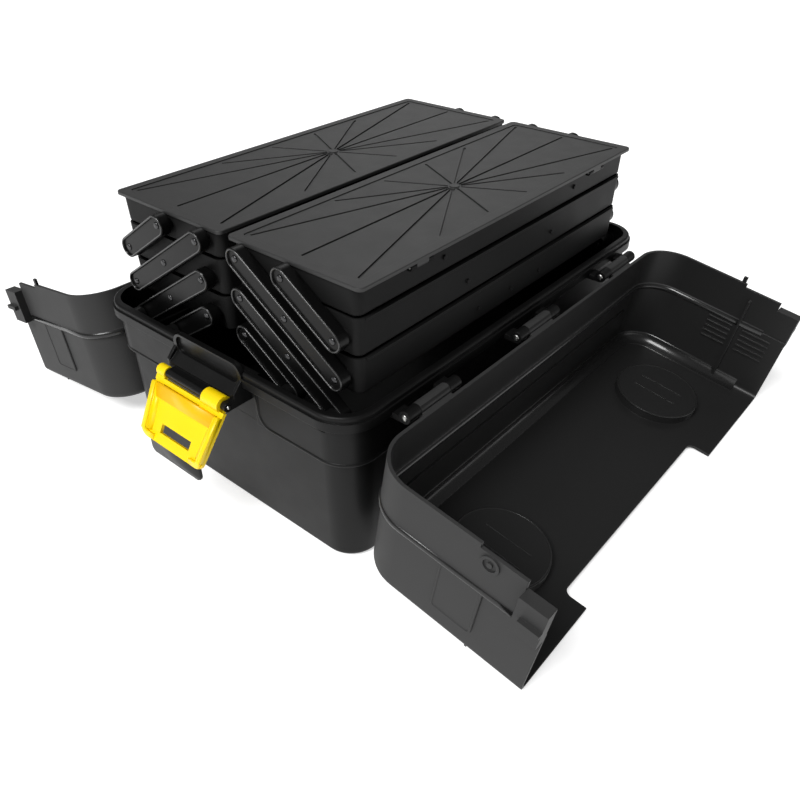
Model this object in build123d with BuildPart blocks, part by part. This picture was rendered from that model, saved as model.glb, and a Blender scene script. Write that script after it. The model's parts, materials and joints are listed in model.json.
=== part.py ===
"""Cantilever tool box with two butterfly covers and six swinging trays.

X runs across the box, Y along the cover hinges, Z up, and the origin lies on
the floor under the middle of the tub. The latch seen in front is at -Y. The
pose is open: covers laid back on the floor, trays stacked, latches hanging.
"""

from math import asin, atan2, cos, degrees, hypot, radians, sin

from build123d import *
import os

# Clearances
RUN = 0.06
GAP = 0.3
SIDE_GAP = 0.2

# Tub, as half sizes over the lip
LIP_X = 157.0
LIP_Y = 230.5
RIM_Z = 151.0
LIP_R = 34.0
LIP_H = 13.0
LIP_STEP = 1.6
LIP_STEP_H = 5.0
LIP_OUT = 5.0
SHOULDER_DROP = 49.0
SHOULDER_IN = 4.0
BASE_R = 27.0
DRAFT = 0.6
WALL = 2.8
FLOOR = 3.0
SETBACK = 3.5
SLOT_DEPTH = 1.2

# Covers, closed: measured from the hinge axis
HINGE_DROP = 10.0
COVER_LAP = 1.2
COVER_WALL = 2.8
COVER_EDGE_R = 8.0
CENTRE_GAP = 0.5
LID_CLEARANCE = 1.2
KNUCKLE_OUT = 7.8
BAND_H = 41.0
BAND_STEP = 1.4
PANEL_RAISE = 1.2
KNUCKLE_R = 5.5
PIN_R = 2.0
HINGE_L = 64.0
TUB_KNUCKLE_L = 14.0
LATCH_NOTCH_X = 22.5
LATCH_NOTCH_H = 12.0
RIM_DIP_X = 59.8
RIM_DIP_H = 4.0
KEEPER_H = 47.0
KEEPER_OUT = 8.0
RIDGE_OUT = 3.2
CUT_X = 21.5
PUCK_FROM_HINGE = 89.0
PUCK_R = 42.0
PUCK_H = 9.0

# Linkage
ARM_W = 18.0
ARM_T = 9.0
ARM_POCKET = 1.0
ARM_BORDER = 2.0
RIVET_R = 2.5
RIVET_HEAD_R = 4.0
RIVET_HEAD_T = 1.2
BOSS_R = 6.0
POST_R = 8.0

# Trays and lids
TRAY_IN = 8.0
TRAY_R = 8.0
TRAY_WALL = 2.0
TRAY_DRAFT = 2.0
TRAY_BELOW = 15.0
TRAY_ABOVE = 16.5
TRAY_GAP = 1.5
TOP_TRAY_ABOVE = 7.2
TRAY_BEAD = 1.4
PARTITION_YS = (0.0,)
PARTITION_T = 1.6
LID_OVERHANG = 5.0
LID_R = 5.0
LID_T = 3.0
LID_PANEL = 0.8
LID_FRAME = 9.0
LID_RAY_ENDS = ((0, 1), (1, 1), (1, -1), (1, 0.5), (1, -0.5), (1, 0.16), (1, -0.16))
LID_RAY_W = 2.4
LID_RAY_DEPTH = 1.2
LID_BOSS_R = 6.0
LID_HINGE_L = 26.0
LID_KNUCKLE_R = 2.4
LID_PIN_R = 1.0

# Latches
BRACKET_X = 43.0
BRACKET_RISE = 6.0
BRACKET_SCOOP = 2.5
BRACKET_R = 11.0
CHEEK_T = 3.0
LATCH_DROP = 24.0
LATCH_OUT = 15.5
LATCH_L = 57.0
LATCH_T = 3.2
LATCH_TAPER = 6.0
LATCH_LEAN = 32.0
LATCH_PIN_R = 1.5
CURL_R = 5.2
KNOB_R = 7.5
LUG_R = 4.2
SLOT_HALF = 19.0
SLOT_LOW = 40.0
SLOT_HIGH = 48.0
FLANGE_T = 5.0
FLANGE_H = 4.0
TAB_X = 33.0
TAB_T = 3.0
TAB_L = 14.0

# Handle, on the left cover, folded into the cut-out
HANDLE_X = -15.0
HANDLE_DROP = 6.5
HANDLE_REACH = 14.0
HANDLE_BAR_R = 5.0
HANDLE_END_T = 5.4
HANDLE_PIN_R = 1.5
HANDLE_LUG_T = 6.0

# Tub values that follow
LIP_Z = RIM_Z - LIP_H
SHOULDER_Z = RIM_Z - SHOULDER_DROP
BAND_X = LIP_X - LIP_OUT
BAND_Y = LIP_Y - LIP_OUT
BAND_R = LIP_R - LIP_OUT
BASE_X = BAND_X - SHOULDER_IN
BASE_Y = BAND_Y - SHOULDER_IN - 0.5
INNER_X = BAND_X - WALL
INNER_Y = BAND_Y - WALL
HINGE_Z = RIM_Z - HINGE_DROP
HINGE_YS = (80.5 - LIP_Y, 0.0, LIP_Y - 80.5)

# Tray and linkage values that follow
TRAY_OUT = INNER_X - 11.2
TRAY_Y = INNER_Y - 27.2
TRAY_PAD_Y = TRAY_Y - 3.3
ARM_IN = TRAY_Y + 3.3
ARM_OUT = ARM_IN + ARM_T
POCKET_Y = ARM_OUT - ARM_POCKET
POST_Y = ARM_OUT + SIDE_GAP
COL_IN = TRAY_IN + 16.0
COL_STEP = (TRAY_OUT - 15.0 - COL_IN) / 2
ROW_STEP = TRAY_BELOW + TRAY_ABOVE + TRAY_GAP
TUB_ROW_Z = RIM_Z - 16.5
COLS = (COL_IN, COL_IN + COL_STEP, COL_IN + 2 * COL_STEP)
ROWS = tuple(TUB_ROW_Z + ROW_STEP * (3 - i) for i in range(4))
LID_IN = TRAY_IN - 4.0
LID_OUT = TRAY_OUT + LID_OVERHANG
LID_Y = TRAY_Y + 1.8
LID_TOP = ROWS[0] + TOP_TRAY_ABOVE + GAP + LID_T
LID_HINGE_X = LID_OUT - 2.5
LID_HINGE_Z = LID_TOP - LID_T - LID_KNUCKLE_R
LID_HINGE_YS = (67.3 - LID_Y, LID_Y - 67.3)

# Cover values that follow
COVER_X = LIP_X + COVER_LAP + COVER_WALL
COVER_Y = LIP_Y + COVER_LAP + COVER_WALL - 0.1
COVER_R = LIP_R + COVER_LAP + COVER_WALL
COVER_TOP = LID_TOP + LID_CLEARANCE + PUCK_H + COVER_WALL
COVER_D = COVER_TOP - HINGE_Z
HINGE_X = COVER_X + KNUCKLE_OUT
COVER_W = HINGE_X - CENTRE_GAP
PUCK_Y = LIP_Y - 85.5
CUT_FAR = LIP_Y - 125.5
CUT_NEAR = 92.5 - LIP_Y
REACH = hypot(COVER_W, COVER_D)
REST_TILT = degrees(asin(HINGE_Z / REACH)) - degrees(atan2(COVER_D, COVER_W))
OPEN_ANGLE = 180.0 + REST_TILT

# Latch and handle values that follow
LATCH_Y = LIP_Y + LATCH_OUT
LATCH_Z = RIM_Z - LATCH_DROP
LATCH_X = BRACKET_X + 1.0
POCKET_X = BRACKET_X + 7.0
BRACKET_TOP_Z = RIM_Z + BRACKET_RISE
LUG_X = BRACKET_X - 10.0
KNOB_X0 = BRACKET_X - 26.0
KNOB_X1 = BRACKET_X - 5.0
HANDLE_Z = COVER_TOP - HANDLE_DROP
HANDLE_END_Y = CUT_FAR - 4.6
RIGHT_HINGE = Axis((HINGE_X, 0, HINGE_Z), (0, 1, 0))

os.makedirs("parts", exist_ok=True)


def upright(y):
    """A plane across Y at y, whose sketch coordinates are X and Z."""
    return Plane.XZ.offset(-y)


def write(shape, name):
    """Label one finished piece and write it."""
    shape.label = name
    export_step(shape, f"parts/{name}.step")


def both_ends(part):
    """The part and its mirror image at the other end of the box."""
    with BuildPart() as pair:
        add(part)
        add(part.mirror(Plane.XZ))
    return pair.part


# Tub
with BuildPart() as tub:
    with BuildSketch():
        RectangleRounded(2 * BASE_X, 2 * BASE_Y, BASE_R)
    extrude(amount=SHOULDER_Z, taper=-DRAFT)
    fillet(tub.faces().sort_by(Axis.Z)[0].edges(), 5)
    with BuildSketch(Plane.XY.offset(SHOULDER_Z)):
        RectangleRounded(2 * BAND_X, 2 * BAND_Y, BAND_R)
    extrude(amount=RIM_Z - SHOULDER_Z)
    with BuildSketch(Plane.XY.offset(LIP_Z)):
        RectangleRounded(2 * LIP_X, 2 * LIP_Y, LIP_R)
    extrude(amount=LIP_H - LIP_STEP_H)
    with BuildSketch(Plane.XY.offset(RIM_Z - LIP_STEP_H)):
        RectangleRounded(
            2 * (LIP_X - LIP_STEP),
            2 * (LIP_Y - LIP_STEP),
            LIP_R - LIP_STEP,
        )
    extrude(amount=LIP_STEP_H)
    fillet(tub.faces().sort_by(Axis.Z)[-1].outer_wire().edges(), 2.2)
    # inside
    with BuildSketch(Plane.XY.offset(FLOOR)):
        RectangleRounded(2 * (BASE_X - WALL), 2 * (BASE_Y - WALL), BASE_R - WALL)
    extrude(amount=SHOULDER_Z + WALL - FLOOR, taper=-DRAFT, mode=Mode.SUBTRACT)
    with BuildSketch(Plane.XY.offset(SHOULDER_Z + WALL)):
        RectangleRounded(2 * INNER_X, 2 * INNER_Y, BAND_R - WALL)
    extrude(amount=RIM_Z - SHOULDER_Z - WALL, mode=Mode.SUBTRACT)
    # pocket behind each latch, where the whole wall is set in
    for end in (-1, 1):
        with BuildSketch(Plane.XY.offset(SHOULDER_Z)):
            with Locations((0, end * (INNER_Y + 0.5 - SETBACK / 2))):
                Rectangle(2 * POCKET_X + 2 * WALL, SETBACK + 1.0)
        extrude(amount=RIM_Z - SHOULDER_Z - 1.0)
        with BuildSketch(Plane.XY.offset(SHOULDER_Z)):
            with Locations((0, end * (BAND_Y - SETBACK + 5.0))):
                Rectangle(2 * POCKET_X, 10.0)
        extrude(amount=LIP_Z - 1.0 - SHOULDER_Z, mode=Mode.SUBTRACT)
    # posts that carry the lowest arm pivots
    for side in (-1, 1):
        for col in COLS[1:]:
            with BuildSketch(upright(-POST_Y)):
                with Locations((side * col, TUB_ROW_Z)):
                    Circle(POST_R)
            extrude(amount=INNER_Y + 1.0 - POST_Y)
            with BuildSketch(upright(INNER_Y + 1.0)):
                with Locations((side * col, TUB_ROW_Z)):
                    Circle(POST_R)
            extrude(amount=INNER_Y + 1.0 - POST_Y)
    # knuckles of the cover hinges
    for side in (-1, 1):
        for y in HINGE_YS:
            for top in (y + HINGE_L / 2, y - HINGE_L / 2 + TUB_KNUCKLE_L):
                with BuildSketch(upright(top)):
                    with Locations((side * HINGE_X, HINGE_Z)):
                        Circle(KNUCKLE_R)
                    with Locations((side * (HINGE_X + LIP_X - 2) / 2, HINGE_Z - 3.1)):
                        Rectangle(HINGE_X - LIP_X + 2, 4.8)
                extrude(amount=TUB_KNUCKLE_L)
    # pin bores
    for side in (-1, 1):
        for y in HINGE_YS:
            with BuildSketch(upright(y + HINGE_L / 2)):
                with Locations((side * HINGE_X, HINGE_Z)):
                    Circle(PIN_R)
            extrude(amount=HINGE_L, mode=Mode.SUBTRACT)
        for col in COLS[1:]:
            with BuildSketch(upright(-POST_Y)):
                with Locations((side * col, TUB_ROW_Z)):
                    Circle(RIVET_R)
            extrude(amount=10.0, mode=Mode.SUBTRACT)
            with BuildSketch(upright(POST_Y + 10.0)):
                with Locations((side * col, TUB_ROW_Z)):
                    Circle(RIVET_R)
            extrude(amount=10.0, mode=Mode.SUBTRACT)
    # seats of the latch brackets: the lip stands back to the band there
    for end in (-1, 1):
        with BuildSketch(Plane.XY.offset(LIP_Z - 1.0)):
            with Locations((0, end * (BAND_Y + 5.0))):
                Rectangle(2 * BRACKET_X + 2 * GAP, 10.0)
        extrude(amount=LIP_H + 2.0, mode=Mode.SUBTRACT)
    # shallow slots outside, over the outer posts
    for side in (-1, 1):
        for y in (BAND_Y + 1.0, -BAND_Y + SLOT_DEPTH):
            with BuildSketch(upright(y)):
                with Locations((side * COLS[2], TUB_ROW_Z)):
                    SlotOverall(12.0, 4.0)
            extrude(amount=1.0 + SLOT_DEPTH, mode=Mode.SUBTRACT)
write(tub.part, "tub")

# Latch brackets, one to each end wall
with BuildPart() as bracket:
    with BuildSketch(upright(-BAND_Y)):
        with Locations((0, (BRACKET_TOP_Z + LATCH_Z - 4.0) / 2)):
            Rectangle(2 * BRACKET_X, BRACKET_TOP_Z - LATCH_Z + 4.0)
    extrude(amount=LIP_Y - BAND_Y)
    fillet(bracket.edges().filter_by(Axis.Y).group_by(Axis.Z)[-1], BRACKET_R)
    with BuildSketch(upright(-LIP_Y + BRACKET_SCOOP)):
        with Locations((0, HINGE_Z + 6.0)):
            RectangleRounded(2 * BRACKET_X - 8.0, 16.0, BRACKET_R - 4.0)
    extrude(amount=BRACKET_SCOOP, mode=Mode.SUBTRACT)
    # foot of the plate, in the pocket of the tub
    with BuildSketch(upright(-BAND_Y + SETBACK)):
        with Locations((0, (LIP_Z - 1.0 + LATCH_Z - 4.0) / 2)):
            Rectangle(2 * BRACKET_X, LIP_Z - 1.0 - LATCH_Z + 4.0)
    extrude(amount=SETBACK)
    # cheeks either side of the platform
    for x0 in (-BRACKET_X, BRACKET_X - CHEEK_T):
        with BuildSketch(Plane.YZ.offset(x0)):
            with BuildLine():
                Polyline(
                    (-LIP_Y, LATCH_Z),
                    (-LIP_Y, HINGE_Z + 3.0),
                    (-LIP_Y - 5.0, HINGE_Z - 2.0),
                    (-LATCH_Y + 6.5, LATCH_Z + 7.5),
                    (-LATCH_Y + 6.5, LATCH_Z),
                    close=True,
                )
            make_face()
        extrude(amount=CHEEK_T)
    # sloping platform in front of the plate
    with BuildSketch(Plane.YZ.offset(-BRACKET_X)):
        with BuildLine():
            Polyline(
                (-LIP_Y, LATCH_Z - 4.0),
                (-LIP_Y, HINGE_Z - GAP - 1.5),
                (-LATCH_Y + 6.5, LATCH_Z + 5.5),
                (-LATCH_Y + 6.5, LATCH_Z - 4.0),
                close=True,
            )
        make_face()
    extrude(amount=2 * BRACKET_X)
    # lugs that hold the latch pin
    for x0, x1 in ((-LUG_X, KNOB_X0), (KNOB_X1, BRACKET_X)):
        with BuildSketch(Plane.YZ.offset(x0)):
            with Locations((-LATCH_Y, LATCH_Z)):
                Circle(LUG_R)
            with Locations((-LATCH_Y + 3.4, LATCH_Z)):
                Rectangle(6.8, 2 * LUG_R - 0.6)
        extrude(amount=x1 - x0)
    # room for the round knob of the latch
    with BuildSketch(Plane.YZ.offset(KNOB_X0)):
        with Locations((-LATCH_Y, LATCH_Z)):
            Circle(KNOB_R + GAP)
    extrude(amount=KNOB_X1 - KNOB_X0, mode=Mode.SUBTRACT)
    with BuildSketch(Plane.YZ.offset(-LATCH_X)):
        with Locations((-LATCH_Y, LATCH_Z)):
            Circle(LATCH_PIN_R)
    extrude(amount=2 * LATCH_X, mode=Mode.SUBTRACT)
write(bracket.part, "bracket_front")
with BuildPart() as bracket_rear:
    add(bracket.part.mirror(Plane.XZ))
write(bracket_rear.part, "bracket_rear")

with BuildPart() as latch_pin:
    with BuildSketch(Plane.YZ.offset(-LATCH_X)):
        with Locations((-LATCH_Y, LATCH_Z)):
            Circle(LATCH_PIN_R)
    extrude(amount=2 * LATCH_X)
write(latch_pin.part, "latch_pin_front")
with BuildPart() as latch_pin_rear:
    add(latch_pin.part.mirror(Plane.XZ))
write(latch_pin_rear.part, "latch_pin_rear")

# Latch plate, drawn closed (upright) and then swung down about its pin
PLATE_IN = LATCH_Y - LATCH_T


def latch_edge(up):
    """Half width of the latch plate at a height above its pin."""
    return LATCH_X - LATCH_TAPER * up / LATCH_L


with BuildPart() as latch_closed:
    with BuildSketch(upright(-PLATE_IN)):
        with BuildLine():
            Polyline(
                (-latch_edge(5.5), LATCH_Z + 5.5),
                (latch_edge(5.5), LATCH_Z + 5.5),
                (latch_edge(LATCH_L), LATCH_Z + LATCH_L),
                (-latch_edge(LATCH_L), LATCH_Z + LATCH_L),
                close=True,
            )
        make_face()
    extrude(amount=LATCH_T)
    fillet(latch_closed.edges().filter_by(Axis.Y).group_by(Axis.Z)[-1], 6.0)
    # flanges along both sides and a sill on the inner face
    for side in (-1, 1):
        low, high = 11.0, LATCH_L - 6.0
        with BuildSketch(upright(-PLATE_IN + FLANGE_H)):
            with BuildLine():
                Polyline(
                    (side * latch_edge(low), LATCH_Z + low),
                    (side * (latch_edge(low) - FLANGE_T), LATCH_Z + low),
                    (side * (latch_edge(high) - FLANGE_T), LATCH_Z + high),
                    (side * latch_edge(high), LATCH_Z + high),
                    close=True,
                )
            make_face()
        extrude(amount=FLANGE_H)
    with BuildSketch(upright(-PLATE_IN + 1.6)):
        with Locations((0, LATCH_Z + 21.5)):
            Rectangle(2 * latch_edge(21.5) - 2 * FLANGE_T + 1.0, 3.0)
    extrude(amount=2.0)
    with BuildSketch(upright(-PLATE_IN)):
        with Locations((-8.0, LATCH_Z + 14.0)):
            RectangleRounded(48.0, 9.0, 2.0)
    extrude(amount=1.2, mode=Mode.SUBTRACT)
    # barrels round the pin: the curl at one end and the knob near the other
    for x0, x1, radius in (
        (-LATCH_X, -LUG_X - GAP, CURL_R),
        (KNOB_X0 + GAP, KNOB_X1 - GAP, KNOB_R),
    ):
        with BuildSketch(Plane.YZ.offset(x0)):
            with Locations((-LATCH_Y, LATCH_Z)):
                Circle(radius)
            with Locations((-LATCH_Y + LATCH_T / 2, LATCH_Z + 4.5)):
                Rectangle(LATCH_T, 9.0)
        extrude(amount=x1 - x0)
    with BuildSketch(Plane.YZ.offset(-LATCH_X)):
        with Locations((-LATCH_Y, LATCH_Z)):
            Circle(LATCH_PIN_R + RUN)
    extrude(amount=2 * LATCH_X, mode=Mode.SUBTRACT)
    # slot that takes the ridges of both keepers
    with BuildSketch(upright(-PLATE_IN + 3.0)):
        with Locations((0, LATCH_Z + (SLOT_LOW + SLOT_HIGH) / 2)):
            Rectangle(2 * SLOT_HALF, SLOT_HIGH - SLOT_LOW)
    extrude(amount=LATCH_T + 6.0, mode=Mode.SUBTRACT)

# Pull tab behind the plate, bent so that it hangs straight down when open
with BuildPart() as tab_closed:
    with BuildSketch(Plane.YZ.offset(-TAB_X)):
        with BuildLine():
            Polyline(
                (-LATCH_Y, LATCH_Z + SLOT_HIGH + 1.5),
                (-LATCH_Y, LATCH_Z + LATCH_L),
                (
                    -LATCH_Y - TAB_L * sin(radians(LATCH_LEAN)),
                    LATCH_Z + LATCH_L + TAB_L * cos(radians(LATCH_LEAN)),
                ),
                (
                    -LATCH_Y - TAB_L * sin(radians(LATCH_LEAN)) - TAB_T,
                    LATCH_Z + LATCH_L + TAB_L * cos(radians(LATCH_LEAN)) - 1.5,
                ),
                (-LATCH_Y - TAB_T, LATCH_Z + LATCH_L + 1.0),
                (-LATCH_Y - TAB_T, LATCH_Z + SLOT_HIGH + 1.5),
                close=True,
            )
        make_face()
    extrude(amount=2 * TAB_X)
    chamfer(tab_closed.edges().group_by(Axis.Z)[-1].filter_by(Axis.X), 0.8)

LATCH_AXIS = Axis((0, -LATCH_Y, LATCH_Z), (1, 0, 0))
with BuildPart() as latch_front:
    add(latch_closed.part.rotate(LATCH_AXIS, 180.0 - LATCH_LEAN))
write(latch_front.part, "latch_front")
with BuildPart() as latch_rear:
    add(latch_front.part.mirror(Plane.XZ))
write(latch_rear.part, "latch_rear")
with BuildPart() as tab_front:
    add(tab_closed.part.rotate(LATCH_AXIS, 180.0 - LATCH_LEAN))
write(tab_front.part, "latch_tab_front")
with BuildPart() as tab_rear:
    add(tab_front.part.mirror(Plane.XZ))
write(tab_rear.part, "latch_tab_rear")

# Cover, drawn closed on the right side
with BuildPart() as cover_closed:
    with BuildSketch(Plane.XY.offset(HINGE_Z)):
        RectangleRounded(2 * COVER_X, 2 * COVER_Y, COVER_R)
    extrude(amount=BAND_H)
    with BuildSketch(Plane.XY.offset(HINGE_Z + BAND_H)):
        RectangleRounded(2 * (COVER_X - BAND_STEP), 2 * (COVER_Y - BAND_STEP), COVER_R - BAND_STEP)
    extrude(amount=COVER_D - BAND_H)
    fillet(cover_closed.faces().sort_by(Axis.Z)[-1].edges(), COVER_EDGE_R)
    # raised panel on each end wall
    for end in (-1, 1):
        with BuildSketch(upright(end * (COVER_Y - BAND_STEP + PANEL_RAISE - 1.0) + 1.0)):
            with Locations((HINGE_X - 102.0, HINGE_Z + 67.0)):
                RectangleRounded(36.0, 54.0, 4.0)
        extrude(amount=2.0)
    # inside
    with BuildSketch(Plane.XY.offset(HINGE_Z)):
        RectangleRounded(
            2 * (COVER_X - COVER_WALL), 2 * (COVER_Y - COVER_WALL), COVER_R - COVER_WALL
        )
    extrude(amount=BAND_H, mode=Mode.SUBTRACT)
    with BuildSketch(Plane.XY.offset(HINGE_Z + BAND_H)):
        RectangleRounded(
            2 * (COVER_X - BAND_STEP - COVER_WALL),
            2 * (COVER_Y - BAND_STEP - COVER_WALL),
            COVER_R - BAND_STEP - COVER_WALL,
        )
    extrude(amount=COVER_D - BAND_H - COVER_WALL, mode=Mode.SUBTRACT)
    ceiling = COVER_TOP - COVER_WALL
    fillet(
        cover_closed.edges().filter_by_position(Axis.Z, ceiling - 0.01, ceiling + 0.01),
        COVER_EDGE_R - COVER_WALL,
    )
    # keep the right half
    with BuildSketch(Plane.XY.offset(HINGE_Z - 1.0)):
        with Locations((CENTRE_GAP - COVER_X, 0)):
            Rectangle(2 * COVER_X, 2 * COVER_Y + 10.0)
    extrude(amount=COVER_D + 2.0, mode=Mode.SUBTRACT)
    # cups in the top wall, which stand inwards as round pucks
    for y in (-PUCK_Y, PUCK_Y):
        with BuildSketch(Plane.XY.offset(COVER_TOP - COVER_WALL - PUCK_H)):
            with Locations((HINGE_X - PUCK_FROM_HINGE, y)):
                Circle(PUCK_R)
        extrude(amount=PUCK_H + 1.0)
        with BuildSketch(Plane.XY.offset(COVER_TOP - PUCK_H)):
            with Locations((HINGE_X - PUCK_FROM_HINGE, y)):
                Circle(PUCK_R - COVER_WALL)
        extrude(amount=PUCK_H, mode=Mode.SUBTRACT)
        with BuildSketch(Plane.XY.offset(COVER_TOP - COVER_WALL - PUCK_H)):
            with Locations((HINGE_X - PUCK_FROM_HINGE, y - 8.0), (HINGE_X - PUCK_FROM_HINGE, y + 10.0)):
                SlotOverall(46.0, 1.4)
        extrude(amount=0.8, mode=Mode.SUBTRACT)
    # vertical rib and louvre ribs inside each end wall
    for end in (-1, 1):
        inner = COVER_Y - BAND_STEP - COVER_WALL
        with BuildSketch(Plane.XY.offset(HINGE_Z + 14.0)):
            with Locations((HINGE_X - 119.0, end * (inner - 0.5))):
                Rectangle(2.0, 5.0)
        extrude(amount=COVER_D - COVER_WALL - 14.0)
        for i in range(5):
            with BuildSketch(Plane.XY.offset(HINGE_Z + BAND_H + 6.0 + 6.0 * i)):
                with Locations((HINGE_X - 101.0, end * inner)):
                    Rectangle(26.0, 2.4)
                with Locations((HINGE_X - 140.0, end * inner)):
                    Rectangle(30.0, 2.4)
            extrude(amount=1.6)
    # step along the inside of the hinge wall
    with BuildSketch(Plane.XY.offset(HINGE_Z + BAND_H + 22.0)):
        with Locations((COVER_X - BAND_STEP - COVER_WALL, 0)):
            Rectangle(4.0, 2 * (COVER_Y - COVER_R) - 20.0)
    extrude(amount=2.4)
    # keepers for the latches, with the ridge that the latch slot takes
    for end in (-1, 1):
        low = HINGE_Z + LATCH_NOTCH_H
        with BuildSketch(Plane.XY.offset(low)):
            with Locations(((CENTRE_GAP + LATCH_NOTCH_X) / 2, end * (COVER_Y - 1.2 + KEEPER_OUT / 2))):
                Rectangle(LATCH_NOTCH_X - CENTRE_GAP, KEEPER_OUT + 2.4 - 0.4)
        extrude(amount=KEEPER_H - LATCH_NOTCH_H)
        ridge_low = LATCH_Z + SLOT_LOW + 2.0
        ridge_high = LATCH_Z + SLOT_HIGH - 2.0
        with BuildSketch(Plane.XY.offset(ridge_low)):
            with Locations(((CENTRE_GAP + SLOT_HALF - 1.5) / 2, end * (LATCH_Y - LATCH_T))):
                Rectangle(SLOT_HALF - CENTRE_GAP - 1.5, 2 * RIDGE_OUT)
        extrude(amount=ridge_high - ridge_low)
    # rim notches under the keepers, and the shallow dip beside them
    with BuildSketch(Plane.XY.offset(HINGE_Z - 1.0)):
        with Locations((LATCH_NOTCH_X / 2, 0)):
            Rectangle(LATCH_NOTCH_X, 2 * COVER_Y + 30.0)
    extrude(amount=LATCH_NOTCH_H + 1.0, mode=Mode.SUBTRACT)
    with BuildSketch(Plane.XY.offset(HINGE_Z - 1.0)):
        with Locations((RIM_DIP_X / 2, 0)):
            Rectangle(RIM_DIP_X, 2 * COVER_Y + 30.0)
    extrude(amount=RIM_DIP_H + 1.0, mode=Mode.SUBTRACT)
    # ring boss on the near end, peg on the far end
    with BuildSketch(upright(-COVER_Y + 0.5)):
        with Locations((HINGE_X - 119.0, HINGE_Z + 12.5)):
            Circle(7.6)
            Circle(5.2, mode=Mode.SUBTRACT)
            Circle(2.2)
    extrude(amount=2.0)
    with BuildSketch(Plane.XY.offset(HINGE_Z - 6.5)):
        with Locations((HINGE_X - 105.0, COVER_Y - COVER_WALL / 2)):
            Rectangle(4.0, COVER_WALL - 0.4)
    extrude(amount=12.0)
    # cut-out for the carrying handle
    with BuildSketch(Plane.XY.offset(COVER_TOP - 20.0)):
        with Locations((0, (CUT_FAR + CUT_NEAR) / 2)):
            RectangleRounded(2 * CUT_X, CUT_FAR - CUT_NEAR, 7.0)
    extrude(amount=30.0, mode=Mode.SUBTRACT)
    # knuckles
    for y in HINGE_YS:
        half = HINGE_L / 2 - TUB_KNUCKLE_L - GAP
        with BuildSketch(upright(y + half)):
            with Locations((HINGE_X, HINGE_Z)):
                Circle(KNUCKLE_R)
            with Locations((HINGE_X - KNUCKLE_OUT / 2 - 0.6, HINGE_Z + KNUCKLE_R / 2)):
                Rectangle(KNUCKLE_OUT + 1.2, KNUCKLE_R)
        extrude(amount=2 * half)
        with BuildSketch(upright(y + half)):
            with Locations((HINGE_X, HINGE_Z)):
                Circle(PIN_R + RUN)
        extrude(amount=2 * half, mode=Mode.SUBTRACT)

with BuildPart() as cover_right:
    add(cover_closed.part.rotate(RIGHT_HINGE, OPEN_ANGLE))
write(cover_right.part, "cover_right")

# The left cover is the same moulding turned round, with the handle lugs
with BuildPart() as cover_left_closed:
    add(cover_closed.part.rotate(Axis.Z, 180))
    for y in (-HANDLE_END_Y - GAP, HANDLE_END_Y + GAP + HANDLE_LUG_T):
        with BuildSketch(upright(y)):
            with Locations((HANDLE_X - 4.0, COVER_TOP - 5.5)):
                Rectangle(18.0, 11.0)
        extrude(amount=HANDLE_LUG_T)
        with BuildSketch(upright(y)):
            with Locations((HANDLE_X, HANDLE_Z)):
                Circle(HANDLE_PIN_R)
        extrude(amount=HANDLE_LUG_T, mode=Mode.SUBTRACT)
LEFT_HINGE = Axis((-HINGE_X, 0, HINGE_Z), (0, 1, 0))
with BuildPart() as cover_left:
    add(cover_left_closed.part.rotate(LEFT_HINGE, -OPEN_ANGLE))
write(cover_left.part, "cover_left")

# Carrying handle: a low bail with a round grip
with BuildPart() as handle_closed:
    with BuildSketch(upright(HANDLE_END_Y)):
        with Locations((HANDLE_X + HANDLE_REACH, HANDLE_Z)):
            Circle(HANDLE_BAR_R)
    extrude(amount=2 * HANDLE_END_Y)
    for y in (HANDLE_END_Y, -HANDLE_END_Y + HANDLE_END_T):
        with BuildSketch(upright(y)):
            with Locations((HANDLE_X + HANDLE_REACH / 2, HANDLE_Z)):
                SlotCenterToCenter(HANDLE_REACH, 2 * HANDLE_BAR_R - 1.0)
        extrude(amount=HANDLE_END_T)
        with BuildSketch(upright(y)):
            with Locations((HANDLE_X, HANDLE_Z)):
                Circle(HANDLE_PIN_R + RUN)
        extrude(amount=HANDLE_END_T, mode=Mode.SUBTRACT)
with BuildPart() as handle:
    add(handle_closed.part.rotate(LEFT_HINGE, -OPEN_ANGLE))
write(handle.part, "handle")
with BuildPart() as handle_pins_closed:
    for y in (-HANDLE_END_Y + HANDLE_END_T, HANDLE_END_Y + GAP + HANDLE_LUG_T):
        with BuildSketch(upright(y)):
            with Locations((HANDLE_X, HANDLE_Z)):
                Circle(HANDLE_PIN_R)
        extrude(amount=HANDLE_END_T + GAP + HANDLE_LUG_T)
with BuildPart() as handle_pins:
    add(handle_pins_closed.part.rotate(LEFT_HINGE, -OPEN_ANGLE))
write(handle_pins.part, "handle_pins")

# Cover hinge pins, with a small head at each end
with BuildPart() as pins_right:
    for y in HINGE_YS:
        with BuildSketch(upright(y + HINGE_L / 2)):
            with Locations((HINGE_X, HINGE_Z)):
                Circle(PIN_R)
        extrude(amount=HINGE_L)
        for top in (y + HINGE_L / 2 + 1.4, y - HINGE_L / 2):
            with BuildSketch(upright(top)):
                with Locations((HINGE_X, HINGE_Z)):
                    Circle(PIN_R + 1.0)
            extrude(amount=1.4)
write(pins_right.part, "cover_pins_right")
with BuildPart() as pins_left:
    add(pins_right.part.mirror(Plane.YZ))
write(pins_left.part, "cover_pins_left")


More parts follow.
